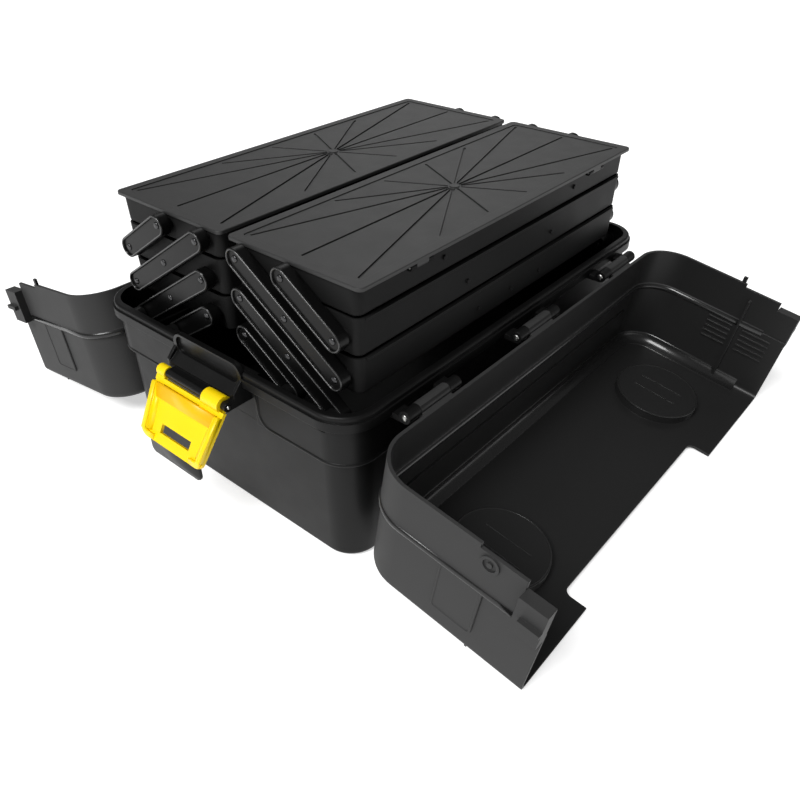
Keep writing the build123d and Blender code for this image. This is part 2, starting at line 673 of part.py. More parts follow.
def tray(level):
    """One tray of the right stack. Level 1 is the top tray."""
    row = ROWS[level - 1]
    low = row - TRAY_BELOW
    high = row + (TOP_TRAY_ABOVE if level == 1 else TRAY_ABOVE)
    height = high - low
    lean = height * sin(radians(TRAY_DRAFT))
    mid = (TRAY_IN + TRAY_OUT) / 2
    half = (TRAY_OUT - TRAY_IN) / 2
    columns = COLS[:2] if level == 1 else COLS
    with BuildPart() as body:
        with BuildSketch(Plane.XY.offset(low)):
            with Locations((mid, 0)):
                RectangleRounded(2 * (half - lean), 2 * (TRAY_Y - lean), TRAY_R - lean)
        extrude(amount=height, taper=-TRAY_DRAFT)
        fillet(body.faces().sort_by(Axis.Z)[0].edges(), 2.0)
        # bead round the mouth, on the long sides
        for x, width in ((TRAY_IN - TRAY_BEAD, TRAY_BEAD + 4.0), (TRAY_OUT - 4.0, TRAY_BEAD + 4.0)):
            with BuildSketch(Plane.XY.offset(high - 2.4)):
                with Locations((x + width / 2, 0)):
                    Rectangle(width, 2 * (TRAY_Y - TRAY_R))
            extrude(amount=2.4)
        # outer pivot bosses
        for end in (-1, 1):
            for col in columns:
                with BuildSketch(upright(-TRAY_Y + 3.0 if end < 0 else ARM_IN - SIDE_GAP)):
                    with Locations((col, row)):
                        Circle(BOSS_R)
                extrude(amount=ARM_IN - SIDE_GAP - TRAY_Y + 3.0)
        # studs on the outer long side
        for y in {1: (-98.0, 98.0), 2: (-65.0, 65.0), 3: (-46.0, 3.0, 50.0)}[level]:
            with BuildSketch(Plane.YZ.offset(TRAY_OUT - 3.0)):
                with Locations((y, row - 3.0)):
                    Circle(2.0)
            extrude(amount=4.2)
        # inside
        with BuildSketch(Plane.XY.offset(low + TRAY_WALL)):
            with Locations((mid, 0)):
                inset = lean + TRAY_WALL - TRAY_WALL * sin(radians(TRAY_DRAFT))
                RectangleRounded(2 * (half - inset), 2 * (TRAY_Y - inset), TRAY_R - inset)
        extrude(amount=height - TRAY_WALL, taper=-TRAY_DRAFT, mode=Mode.SUBTRACT)
        # inner pads that the rivets close on
        for end in (-1, 1):
            for col in columns:
                with BuildSketch(upright(-TRAY_PAD_Y if end < 0 else TRAY_Y - 1.4)):
                    with Locations((col, row)):
                        Circle(BOSS_R)
                extrude(amount=TRAY_Y - 1.4 - TRAY_PAD_Y)
                with BuildSketch(upright(-TRAY_PAD_Y + 1.0 if end < 0 else ARM_IN)):
                    with Locations((col, row)):
                        Circle(RIVET_R)
                extrude(amount=ARM_IN - TRAY_PAD_Y + 1.0, mode=Mode.SUBTRACT)
        # partitions
        for y in PARTITION_YS:
            with BuildSketch(upright(y + PARTITION_T / 2)):
                with Locations((mid, low + 1.0 + (height - 5.0) / 2)):
                    Rectangle(2 * half - 2 * lean - 2.0, height - 5.0)
            extrude(amount=PARTITION_T)
        if level == 1:
            # ears that hold the lid pins, either side of the lid knuckle
            for y in LID_HINGE_YS:
                for top in (y + LID_HINGE_L / 2, y - LID_HINGE_L / 2 + 6.0):
                    with BuildSketch(upright(top)):
                        with Locations((LID_HINGE_X, LID_HINGE_Z)):
                            Circle(LID_KNUCKLE_R)
                        with Locations(((LID_HINGE_X + TRAY_OUT - 2.0) / 2, LID_HINGE_Z - 0.8)):
                            Rectangle(LID_HINGE_X - TRAY_OUT + 2.0, 3.2)
                    extrude(amount=6.0)
                with BuildSketch(upright(y + LID_HINGE_L / 2)):
                    with Locations((LID_HINGE_X, LID_HINGE_Z)):
                        Circle(LID_PIN_R)
                extrude(amount=LID_HINGE_L, mode=Mode.SUBTRACT)
                # room for the lid knuckle
                with BuildSketch(upright(y + LID_HINGE_L / 2 - 6.0)):
                    with Locations((LID_HINGE_X, LID_HINGE_Z)):
                        Circle(LID_KNUCKLE_R + GAP)
                    with Locations((LID_HINGE_X, LID_HINGE_Z + LID_KNUCKLE_R)):
                        Rectangle(2 * LID_KNUCKLE_R + 2 * GAP, 2 * LID_KNUCKLE_R)
                extrude(amount=LID_HINGE_L - 12.0, mode=Mode.SUBTRACT)
    return body.part


def rivet(col, row, y0, y1, head0, head1):
    """One rivet at the front end: shank from y0 to y1, heads beyond head0 and head1."""
    with BuildPart() as pin:
        with BuildSketch(upright(-y0)):
            with Locations((col, row)):
                Circle(RIVET_R)
        extrude(amount=y1 - y0)
        with BuildSketch(upright(-head0)):
            with Locations((col, row)):
                Circle(RIVET_HEAD_R)
        extrude(amount=y0 - head0)
        if head1 > y1:
            with BuildSketch(upright(-y1)):
                with Locations((col, row)):
                    Circle(RIVET_HEAD_R)
            extrude(amount=head1 - y1)
            fillet(pin.faces().sort_by(Axis.Y)[0].edges(), 0.8)
    return pin.part


for level in (1, 2, 3):
    right_tray = tray(level)
    write(right_tray, f"tray_right_{level}")
    with BuildPart() as left_tray:
        add(right_tray.mirror(Plane.YZ))
    write(left_tray.part, f"tray_left_{level}")
    with BuildPart() as rivets_right:
        for col in COLS[:2] if level == 1 else COLS:
            one = rivet(
                col,
                ROWS[level - 1],
                TRAY_PAD_Y,
                POCKET_Y + SIDE_GAP,
                TRAY_PAD_Y - 1.2,
                POCKET_Y + SIDE_GAP + RIVET_HEAD_T,
            )
            add(both_ends(one))
    write(rivets_right.part, f"rivets_right_{level}")
    with BuildPart() as rivets_left:
        add(rivets_right.part.mirror(Plane.YZ))
    write(rivets_left.part, f"rivets_left_{level}")

with BuildPart() as rivets_tub:
    for col in COLS[1:]:
        one = rivet(
            col,
            TUB_ROW_Z,
            ARM_IN - SIDE_GAP,
            POST_Y + 10.0,
            ARM_IN - SIDE_GAP - 1.2,
            0.0,
        )
        add(both_ends(one))
        add(both_ends(one).mirror(Plane.YZ))
write(rivets_tub.part, "rivets_tub")


def arm(points):
    """A front-end arm through the given pivots, first to last, as (column, row)."""
    (x0, z0), (x1, z1) = points[0], points[-1]
    length = hypot(x1 - x0, z1 - z0)
    turn = degrees(atan2(z1 - z0, x1 - x0))
    with BuildPart() as bar:
        with BuildSketch(upright(-ARM_IN)):
            with Locations(((x0 + x1) / 2, (z0 + z1) / 2)):
                SlotCenterToCenter(length, ARM_W, rotation=turn)
        extrude(amount=ARM_T)
        with BuildSketch(upright(-POCKET_Y)):
            with Locations(((x0 + x1) / 2, (z0 + z1) / 2)):
                SlotCenterToCenter(length, ARM_W - 2 * ARM_BORDER, rotation=turn)
        extrude(amount=ARM_POCKET, mode=Mode.SUBTRACT)
        for point in points:
            with BuildSketch(upright(-ARM_IN)):
                with Locations(point):
                    Circle(RIVET_R + RUN)
            extrude(amount=ARM_T, mode=Mode.SUBTRACT)
    return bar.part


ARMS = {
    "a": [(COLS[0 + i + 1], ROWS[i]) for i in (0, 1)],
    "b": [(COLS[i], ROWS[i]) for i in (0, 1, 2)],
    "c": [(COLS[i], ROWS[i + 1]) for i in (0, 1, 2)],
    "d": [(COLS[i], ROWS[i + 2]) for i in (0, 1)],
}
for letter, points in ARMS.items():
    front = arm(points)
    write(front, f"arm_{letter}_front_right")
    with BuildPart() as turned:
        add(front.mirror(Plane.YZ))
    write(turned.part, f"arm_{letter}_front_left")
    with BuildPart() as turned:
        add(front.mirror(Plane.XZ))
    write(turned.part, f"arm_{letter}_rear_right")
    with BuildPart() as turned:
        add(front.mirror(Plane.XZ).mirror(Plane.YZ))
    write(turned.part, f"arm_{letter}_rear_left")

# Lids: a framed plate with grooves that radiate from the centre
LID_MID = (LID_IN + LID_OUT) / 2
LID_HALF = (LID_OUT - LID_IN) / 2
with BuildPart() as lid:
    with BuildSketch(Plane.XY.offset(LID_TOP - LID_T)):
        with Locations((LID_MID, 0)):
            RectangleRounded(2 * LID_HALF, 2 * LID_Y, LID_R)
    extrude(amount=LID_T)
    fillet(lid.faces().sort_by(Axis.Z)[-1].edges(), 0.9)
    with BuildSketch(Plane.XY.offset(LID_TOP - LID_PANEL)):
        with Locations((LID_MID, 0)):
            RectangleRounded(2 * (LID_HALF - LID_FRAME), 2 * (LID_Y - LID_FRAME), 3.0)
    extrude(amount=LID_PANEL, mode=Mode.SUBTRACT)
    with BuildSketch(Plane.XY.offset(LID_TOP - LID_PANEL - LID_RAY_DEPTH)):
        with Locations((LID_MID, 0)):
            for across, along in LID_RAY_ENDS:
                end_x = across * (LID_HALF - LID_FRAME - 4.5)
                end_y = along * (LID_Y - LID_FRAME - 4.0)
                turn = degrees(atan2(end_y, end_x))
                SlotOverall(2 * hypot(end_x, end_y), LID_RAY_W, rotation=turn)
            Circle(LID_BOSS_R, mode=Mode.SUBTRACT)
    extrude(amount=LID_RAY_DEPTH, mode=Mode.SUBTRACT)
    with BuildSketch(Plane.XY.offset(LID_TOP - LID_PANEL)):
        with Locations((LID_MID, 0)):
            Circle(LID_BOSS_R - 1.5)
    extrude(amount=LID_PANEL)
    for y in LID_HINGE_YS:
        with BuildSketch(upright(y + LID_HINGE_L / 2 - 6.0 - GAP)):
            with Locations((LID_HINGE_X, LID_HINGE_Z)):
                Circle(LID_KNUCKLE_R)
            with Locations((LID_HINGE_X, LID_HINGE_Z + LID_KNUCKLE_R / 2)):
                Rectangle(2 * LID_KNUCKLE_R, LID_KNUCKLE_R + 0.4)
        extrude(amount=LID_HINGE_L - 12.0 - 2 * GAP)
        with BuildSketch(upright(y + LID_HINGE_L / 2)):
            with Locations((LID_HINGE_X, LID_HINGE_Z)):
                Circle(LID_PIN_R + RUN)
        extrude(amount=LID_HINGE_L, mode=Mode.SUBTRACT)
        # room for the ears
        for top in (y + LID_HINGE_L / 2 + GAP, y - LID_HINGE_L / 2 + 6.0 + GAP):
            with BuildSketch(upright(top)):
                with Locations((LID_HINGE_X, LID_HINGE_Z)):
                    Circle(LID_KNUCKLE_R + GAP)
            extrude(amount=6.0 + 2 * GAP, mode=Mode.SUBTRACT)
write(lid.part, "lid_right")
with BuildPart() as lid_left:
    add(lid.part.mirror(Plane.YZ))
write(lid_left.part, "lid_left")

with BuildPart() as lid_pins:
    for y in LID_HINGE_YS:
        with BuildSketch(upright(y + LID_HINGE_L / 2)):
            with Locations((LID_HINGE_X, LID_HINGE_Z)):
                Circle(LID_PIN_R)
        extrude(amount=LID_HINGE_L)
write(lid_pins.part, "lid_pins_right")
with BuildPart() as lid_pins_left:
    add(lid_pins.part.mirror(Plane.YZ))
write(lid_pins_left.part, "lid_pins_left")

print("rest tilt", REST_TILT, "hinge", HINGE_X, HINGE_Z, "lid top", LID_TOP)
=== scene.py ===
"""Looks of the cantilever tool box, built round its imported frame.

Each sub-assembly is a class: it copies the frame's nodes with the normals of their
real surfaces, turns the rivets and pins, adds the pieces that only show (rolled
edges, coves, latch frames, beads on the arms) and dresses them. Lengths are in
millimetres.
"""

import json
import logging
import math
from dataclasses import dataclass
from enum import Enum

import bmesh
import bpy
import numpy as np
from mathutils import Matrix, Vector

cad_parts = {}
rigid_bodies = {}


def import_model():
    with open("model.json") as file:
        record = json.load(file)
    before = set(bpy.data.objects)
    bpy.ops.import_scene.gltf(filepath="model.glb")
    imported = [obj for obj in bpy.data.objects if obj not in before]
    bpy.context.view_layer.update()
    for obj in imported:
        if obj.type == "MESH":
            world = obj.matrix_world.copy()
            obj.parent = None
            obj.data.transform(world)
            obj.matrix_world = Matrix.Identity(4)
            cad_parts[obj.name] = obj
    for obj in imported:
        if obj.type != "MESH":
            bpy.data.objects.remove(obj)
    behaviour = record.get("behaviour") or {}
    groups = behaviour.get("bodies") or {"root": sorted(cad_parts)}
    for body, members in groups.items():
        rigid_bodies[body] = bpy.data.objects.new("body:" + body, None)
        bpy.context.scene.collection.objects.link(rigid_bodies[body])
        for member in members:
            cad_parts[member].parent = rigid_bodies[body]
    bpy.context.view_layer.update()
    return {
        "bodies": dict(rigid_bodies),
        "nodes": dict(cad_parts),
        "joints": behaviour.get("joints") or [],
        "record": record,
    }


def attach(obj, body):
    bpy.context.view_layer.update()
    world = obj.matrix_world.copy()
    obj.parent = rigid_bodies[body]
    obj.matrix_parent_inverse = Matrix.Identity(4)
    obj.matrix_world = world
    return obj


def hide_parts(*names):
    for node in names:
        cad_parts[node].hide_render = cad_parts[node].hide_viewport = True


LOG = logging.getLogger("toolbox")
MM = 0.001
WELD_M = 2e-5  # corners nearer than this are one, in metres
TINY = 1e-20  # keeps a division by a zero length harmless
RIVET_HEAD = 3.0  # radius of a rivet's domed head
FRAME: dict = {}


class Side(Enum):
    """The two halves of the box, with the sign of their X."""

    LEFT = -1
    RIGHT = 1

    @property
    def word(self) -> str:
        """The side's name inside node and body names."""
        return self.name.lower()


class End(Enum):
    """The two end walls, with the sign of their Y."""

    FRONT = -1
    REAR = 1

    @property
    def word(self) -> str:
        """The end's name inside node and body names."""
        return self.name.lower()


def linear(hex_colour: str) -> tuple[float, float, float, float]:
    """Turn an sRGB hex colour into linear RGBA.

    Args:
        hex_colour: Six hex digits with a leading hash.

    Returns:
        Linear red, green and blue, with alpha 1.
    """
    srgb = np.array([int(hex_colour[i : i + 2], 16) for i in (1, 3, 5)]) / 255.0
    low = srgb / 12.92
    high = ((srgb + 0.055) / 1.055) ** 2.4
    return (*np.where(srgb <= 0.04045, low, high).tolist(), 1.0)


def add_node(
    material: bpy.types.Material,
    kind: str,
    settings: dict[str, object] | None = None,
    links: dict[str, bpy.types.NodeSocket] | None = None,
) -> bpy.types.Node:
    """Add one shader node with its settings and incoming links.

    Args:
        material: The material that gets the node.
        kind: The node's type name.
        settings: Attribute or input names with their values.
        links: Input names with the sockets that feed them.

    Returns:
        The new node.
    """
    tree = material.node_tree
    node = tree.nodes.new(kind)
    for key, value in (settings or {}).items():
        if hasattr(node, key):
            setattr(node, key, value)
        else:
            node.inputs[key].default_value = value
    for key, socket in (links or {}).items():
        tree.links.new(socket, node.inputs[key])
    return node


@dataclass(frozen=True)
class MouldedPlastic:
    """Injection-moulded plastic with the grain of a spark-eroded mould.

    It gives the eye an even body under a soft, wide highlight that breaks up over
    the grain and mottles a little. A shell with an inner colour is dull and grained
    outside, and dark and smooth inside, where the mould wasn't etched.
    """

    name: str
    dark: str
    light: str
    roughness: float
    roughness_spread: float = 0.03
    grain_mm: float = 0.9
    grain_depth_mm: float = 0.035
    mottle_mm: float = 22.0
    edge_mm: float = 0.5
    ior: float = 1.49
    specular: float = 0.5
    inner: str | None = None
    inner_roughness: float = 0.38
    inner_grain: float = 0.03

    def build(self) -> bpy.types.Material:
        """Make the material and return it."""
        material = bpy.data.materials.new(self.name)
        material.use_nodes = True
        material.node_tree.nodes.clear()
        place = add_node(material, "ShaderNodeTexCoord").outputs["Object"]
        mottle = add_node(
            material,
            "ShaderNodeTexNoise",
            {"Scale": 1.0 / (self.mottle_mm * MM), "Detail": 3.0, "Roughness": 0.55},
            {"Vector": place},
        ).outputs["Fac"]
        grain = add_node(
            material,
            "ShaderNodeTexNoise",
            {"Scale": 1.0 / (self.grain_mm * MM), "Detail": 2.0, "Roughness": 0.6},
            {"Vector": place},
        ).outputs["Fac"]
        colour = add_node(
            material,
            "ShaderNodeMix",
            {"data_type": "RGBA"},
            {"Factor": mottle},
        )
        colour.inputs[6].default_value = linear(self.dark)
        colour.inputs[7].default_value = linear(self.light)
        rough = add_node(
            material,
            "ShaderNodeMapRange",
            {
                "From Min": 0.3,
                "From Max": 0.7,
                "To Min": self.roughness - self.roughness_spread,
                "To Max": self.roughness + self.roughness_spread,
            },
            {"Value": mottle},
        ).outputs["Result"]
        tint = colour.outputs[2]
        if self.inner:
            # the mould is etched on the outside only, so the inside comes out dark and glossy
            outside = add_node(
                material, "ShaderNodeAttribute", {"attribute_name": "outside"}
            ).outputs["Fac"]
            choice = {"Factor": outside}
            both = add_node(material, "ShaderNodeMix", {"data_type": "RGBA"}, choice)
            both.inputs[6].default_value = linear(self.inner)
            material.node_tree.links.new(tint, both.inputs[7])
            tint = both.outputs[2]
            blend = add_node(material, "ShaderNodeMix", {"data_type": "FLOAT"}, choice)
            blend.inputs[2].default_value = self.inner_roughness
            material.node_tree.links.new(rough, blend.inputs[3])
            rough = blend.outputs[0]
            etched = add_node(material, "ShaderNodeMix", {"data_type": "FLOAT"}, choice)
            etched.inputs[2].default_value = self.inner_grain
            etched.inputs[3].default_value = 1.0
        worn_edge = add_node(
            material, "ShaderNodeBevel", {"samples": 4, "Radius": self.edge_mm * MM}
        ).outputs["Normal"]
        bump = add_node(
            material,
            "ShaderNodeBump",
            {"Strength": 1.0, "Distance": self.grain_depth_mm * MM},
            {"Height": grain, "Normal": worn_edge}
            | ({"Strength": etched.outputs[0]} if self.inner else {}),
        ).outputs["Normal"]
        shader = add_node(
            material,
            "ShaderNodeBsdfPrincipled",
            {"IOR": self.ior, "Specular IOR Level": self.specular},
            {"Base Color": tint, "Roughness": rough, "Normal": bump},
        )
        add_node(material, "ShaderNodeOutputMaterial", None, {"Surface": shader.outputs["BSDF"]})
        return material


@dataclass(frozen=True)
class TurnedSteel:
    """Plated or blackened steel of rivets and pins: bright and a little cloudy."""

    name: str
    dark: str
    light: str
    roughness: float
    cloud_mm: float = 2.5

    def build(self) -> bpy.types.Material:
        """Make the material and return it."""
        material = bpy.data.materials.new(self.name)
        material.use_nodes = True
        material.node_tree.nodes.clear()
        place = add_node(material, "ShaderNodeTexCoord").outputs["Object"]
        cloud = add_node(
            material,
            "ShaderNodeTexNoise",
            {"Scale": 1.0 / (self.cloud_mm * MM), "Detail": 3.0},
            {"Vector": place},
        ).outputs["Fac"]
        colour = add_node(material, "ShaderNodeMix", {"data_type": "RGBA"}, {"Factor": cloud})
        colour.inputs[6].default_value = linear(self.dark)
        colour.inputs[7].default_value = linear(self.light)
        rough = add_node(
            material,
            "ShaderNodeMapRange",
            {"To Min": self.roughness - 0.08, "To Max": self.roughness + 0.12},
            {"Value": cloud},
        ).outputs["Result"]
        shader = add_node(
            material,
            "ShaderNodeBsdfPrincipled",
            {"Metallic": 1.0},
            {"Base Color": colour.outputs[2], "Roughness": rough},
        )
        add_node(material, "ShaderNodeOutputMaterial", None, {"Surface": shader.outputs["BSDF"]})
        return material


@dataclass(frozen=True)
class Palette:
    """Every finish on the box, built once."""

    tub: bpy.types.Material
    cover: bpy.types.Material
    inside: bpy.types.Material
    tray: bpy.types.Material
    lid: bpy.types.Material
    arm: bpy.types.Material
    bead: bpy.types.Material
    bracket: bpy.types.Material
    latch: bpy.types.Material
    latch_shelf: bpy.types.Material
    rivet: bpy.types.Material
    steel: bpy.types.Material

    @classmethod
    def mixed(cls) -> "Palette":
        """Build the finishes and return them together."""
        return cls(
            # etched outside, polished core: near-black with a faint sheen
            tub=MouldedPlastic(
                "grained_black_polypropylene", "#0b0b0b", "#101010", 0.42,
                edge_mm=1.2, specular=0.2, inner="#0c0c0c",
            ).build(),
            # the tub's plastic, dull, with a lighter grey base outside: painted light for the
            # brighter light the covers' outsides catch
            cover=MouldedPlastic(
                "grained_cover_polypropylene", "#303030", "#363636", 0.6,
                grain_depth_mm=0.02, specular=0.25, inner="#1e1e1e",
            ).build(),
            # rolled edges inside the covers: a narrow, clear gleam
            inside=MouldedPlastic(
                "glossy_black_polypropylene", "#1b1b1b", "#1e1e1e", 0.24, grain_depth_mm=0.006
            ).build(),
            # satin moulding: dark, with hardly any highlight
            tray=MouldedPlastic(
                "satin_black_polypropylene", "#1b1b1b", "#1e1e1e", 0.42,
                grain_depth_mm=0.02, edge_mm=0.8, specular=0.06,
            ).build(),
            # deep etch: the grain scatters the light over the whole lid
            lid=MouldedPlastic(
                "grained_lid_polypropylene", "#2c2c2c", "#323232", 0.5,
                grain_depth_mm=0.06, specular=0.4,
            ).build(),
            # smooth mould: the blackest pieces, softly lit at their edges
            arm=MouldedPlastic(
                "smooth_black_nylon", "#080808", "#0c0c0c", 0.3,
                grain_depth_mm=0.012, edge_mm=0.8, specular=0.16,
            ).build(),
            # a lighter black with a strong specular: painted highlight, a thin light line round
            # each arm
            bead=MouldedPlastic(
                "rubbed_black_nylon", "#1d1d1d", "#232323", 0.26,
                grain_depth_mm=0.006, edge_mm=0.2, specular=0.7,
            ).build(),
            # dense and smooth: a dark piece with a firm highlight
            bracket=MouldedPlastic(
                "charcoal_acetal", "#0d0d0d", "#121212", 0.32,
                grain_depth_mm=0.012, edge_mm=0.8, specular=0.3,
            ).build(),
            # glossy ABS: a full, even yellow
            latch=MouldedPlastic(
                "yellow_moulded_abs", "#ffd800", "#ffde00", 0.36, 0.04,
                grain_depth_mm=0.006, mottle_mm=40.0, ior=1.45,
            ).build(),
            # the same yellow plastic, darkened to amber: painted shade for the recess under the
            # plate's top
            latch_shelf=MouldedPlastic(
                "amber_moulded_abs", "#f6bc00", "#f9c400", 0.36, 0.04,
                grain_depth_mm=0.006, mottle_mm=40.0, ior=1.45,
            ).build(),
            # blackened: dark grey metal that still glints on its dome
            rivet=TurnedSteel("blackened_steel_rivet", "#3a3a3b", "#5c5c5d", 0.3).build(),
            # zinc-plated: bright and slightly cloudy
            steel=TurnedSteel("zinc_plated_steel", "#9a9a98", "#c9c9c6", 0.28).build(),
        )


def finished(
    piece: bpy.types.Object, body: str, material: bpy.types.Material
) -> bpy.types.Object:
    """Give a piece its body and material, and report it.

    Args:
        piece: The object to finish.
        body: The CAD body that it rides on.
        material: Its only material.

    Returns:
        The same piece.
    """
    piece.data.materials.clear()
    piece.data.materials.append(material)
    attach(piece, body)
    LOG.info("%s rides on %s", piece.name, body)
    return piece


def mesh_piece(name: str, points: np.ndarray, faces: list[tuple[int, ...]]) -> bpy.types.Object:
    """Make an object from points in millimetres and faces.

    Args:
        name: The piece's name.
        points: One row per vertex.
        faces: Vertex numbers of each face.

    Returns:
        The new object, at the origin, smooth-shaded, with its faces outwards.
    """
    mesh = bpy.data.meshes.new(name)
    mesh.from_pydata((points * MM).tolist(), [], faces)
    work = bmesh.new()
    work.from_mesh(mesh)
    bmesh.ops.recalc_face_normals(work, faces=work.faces)
    work.to_mesh(mesh)
    work.free()
    mesh.shade_smooth()
    piece = bpy.data.objects.new(name, mesh)
    bpy.context.scene.collection.objects.link(piece)
    return piece


def ring_faces(rows: int, sides: int, closed: bool = False) -> list[list[int]]:
    """Number the four-cornered faces between neighbouring rings of points.

    Args:
        rows: How many rings there are.
        sides: Points in each ring.
        closed: Whether the last ring is joined to the first.

    Returns:
        Four point numbers per face.
    """
    i, j = np.meshgrid(np.arange(rows if closed else rows - 1), np.arange(sides), indexing="ij")
    k, n = (j + 1) % sides, (i + 1) % rows
    faces = np.stack([i * sides + j, i * sides + k, n * sides + k, n * sides + j], -1)
    return faces.reshape(-1, 4).tolist()


def lathe(
    profile: np.ndarray, axis: np.ndarray, base: np.ndarray, segments: int = 28
) -> tuple[np.ndarray, list]:
    """Turn a profile round an axis.

    A point at distance r and height h lies at base + h * axis + r * (cos t * u + sin t * v),
    with u and v square to the axis and t going once round.

    Args:
        profile: Rows of radius and height, from one pole to the other; radius 0 at both.
        axis: Unit vector of the axis.
        base: The point with height 0.
        segments: Facets round the axis.

    Returns:
        Points and faces of the closed surface.
    """
    helper = np.array([0.0, 0.0, 1.0]) if abs(axis[2]) < 0.9 else np.array([1.0, 0.0, 0.0])
    u = np.cross(helper, axis)
    u /= np.linalg.norm(u)
    v = np.cross(axis, u)
    t = np.linspace(0, 2 * np.pi, segments, endpoint=False)
    ring = np.cos(t)[:, None] * u + np.sin(t)[:, None] * v
    middle = profile[1:-1]
    points = base + middle[:, 1, None, None] * axis + middle[:, 0, None, None] * ring
    poles = base + profile[[0, -1], 1][:, None] * axis
    points = np.vstack([points.reshape(-1, 3), poles])
    rows = len(middle)
    low, high = rows * segments, rows * segments + 1
    faces = ring_faces(rows, segments)
    faces += [(low, (n + 1) % segments, n) for n in range(segments)]
    top = (rows - 1) * segments
    faces += [(high, top + n, top + (n + 1) % segments) for n in range(segments)]
    return points, faces


def swept(
    path: np.ndarray, outward: np.ndarray, profile: np.ndarray, closed: bool = False
) -> tuple[np.ndarray, list]:
    """Carry a closed profile along a path.

    A profile point (a, b) at a path point p lies at p + a * outward + b * across,
    with across square to both the path's direction and outward.

    Args:
        path: Rows of points.
        outward: Unit vector away from the wall at each of them.
        profile: Rows of the two profile coordinates, going once round.
        closed: Whether the path runs back into its start. If not, both ends are capped.

    Returns:
        Points and faces of the closed surface.
    """
    if closed:
        along = np.roll(path, -1, axis=0) - np.roll(path, 1, axis=0)
    else:
        along = np.gradient(path, axis=0)
    across = np.cross(along, outward)
    across /= np.linalg.norm(across, axis=1)[:, None]
    rows, sides = len(path), len(profile)
    a, b = profile[:, 0, None], profile[:, 1, None]
    points = (path[:, None] + a * outward[:, None] + b * across[:, None]).reshape(-1, 3)
    faces = ring_faces(rows, sides, closed)
    if not closed:
        last = (rows - 1) * sides
        faces += [tuple(range(sides - 1, -1, -1)), tuple(range(last, last + sides))]
    return points, faces


def round_profile(radius: float, sunk: float, sides: int = 12) -> np.ndarray:
    """Circle of a bead whose middle lies under the wall's face.

    Args:
        radius: Radius of the bead.
        sunk: Depth of its middle under the face.
        sides: Facets round it.

    Returns:
        Rows of the two profile coordinates: radius * cos t - sunk and radius * sin t.
    """
    t = np.linspace(0, 2 * np.pi, sides, endpoint=False)
    return np.stack([radius * np.cos(t) - sunk, radius * np.sin(t)], axis=1)


def corner_run(
    start_x: float, half_x: float, half_y: float, radius: float, z: float
) -> tuple[np.ndarray, np.ndarray]:
    """Walk along the front wall, round both side corners and back along the rear wall.

    Each corner is a quarter circle: its point is the corner's centre plus the
    radius times (sin t, -cos t), and its outward vector is (sin t, -cos t).

    Args:
        start_x: X of both ends of the walk.
        half_x: X of the side wall's face.
        half_y: Y of the end walls' faces.
        radius: Radius of the corners.
        z: Height of the walk.

    Returns:
        Points of the walk and their outward vectors.
    """
    t = np.linspace(0, np.pi / 2, 13)
    turn = np.stack([np.sin(t), -np.cos(t), np.zeros(13)], axis=1)
    centre = np.array([half_x - radius, radius - half_y, z])
    start = np.array([[start_x, -half_y, z]])
    front = np.vstack([start, centre + radius * turn])
    facing = np.vstack([turn[:1], turn])
    flip = np.array([1.0, -1.0, 1.0])
    return np.vstack([front, front[::-1] * flip]), np.vstack([facing, facing[::-1] * flip])


def joined(parts: list[tuple[np.ndarray, list]]) -> tuple[np.ndarray, list]:
    """Put several point and face sets into one.

    Args:
        parts: Points and faces of each set.

    Returns:
        All the points and all the faces, renumbered.
    """
    points, faces, start = [], [], 0
    for some_points, some_faces in parts:
        points.append(some_points)
        faces += [tuple(int(n) + start for n in face) for face in some_faces]
        start += len(some_points)
    return np.vstack(points), faces


def lowest_labels(count: int, start: np.ndarray, end: np.ndarray) -> np.ndarray:
    """Number the groups of items that links join.

    Every item takes the lowest number among its neighbours until nothing
    changes, so what shares a number hangs together.

    Args:
        count: How many items there are.
        start: First item of each link.
        end: Second item of each link.

    Returns:
        One number per item.
    """
    label = np.arange(count)
    while True:
        lower = label.copy()
        np.minimum.at(lower, start, label[end])
        np.minimum.at(lower, end, label[start])
        lower = lower[lower]
        if np.array_equal(lower, label):
            return label
        label = lower


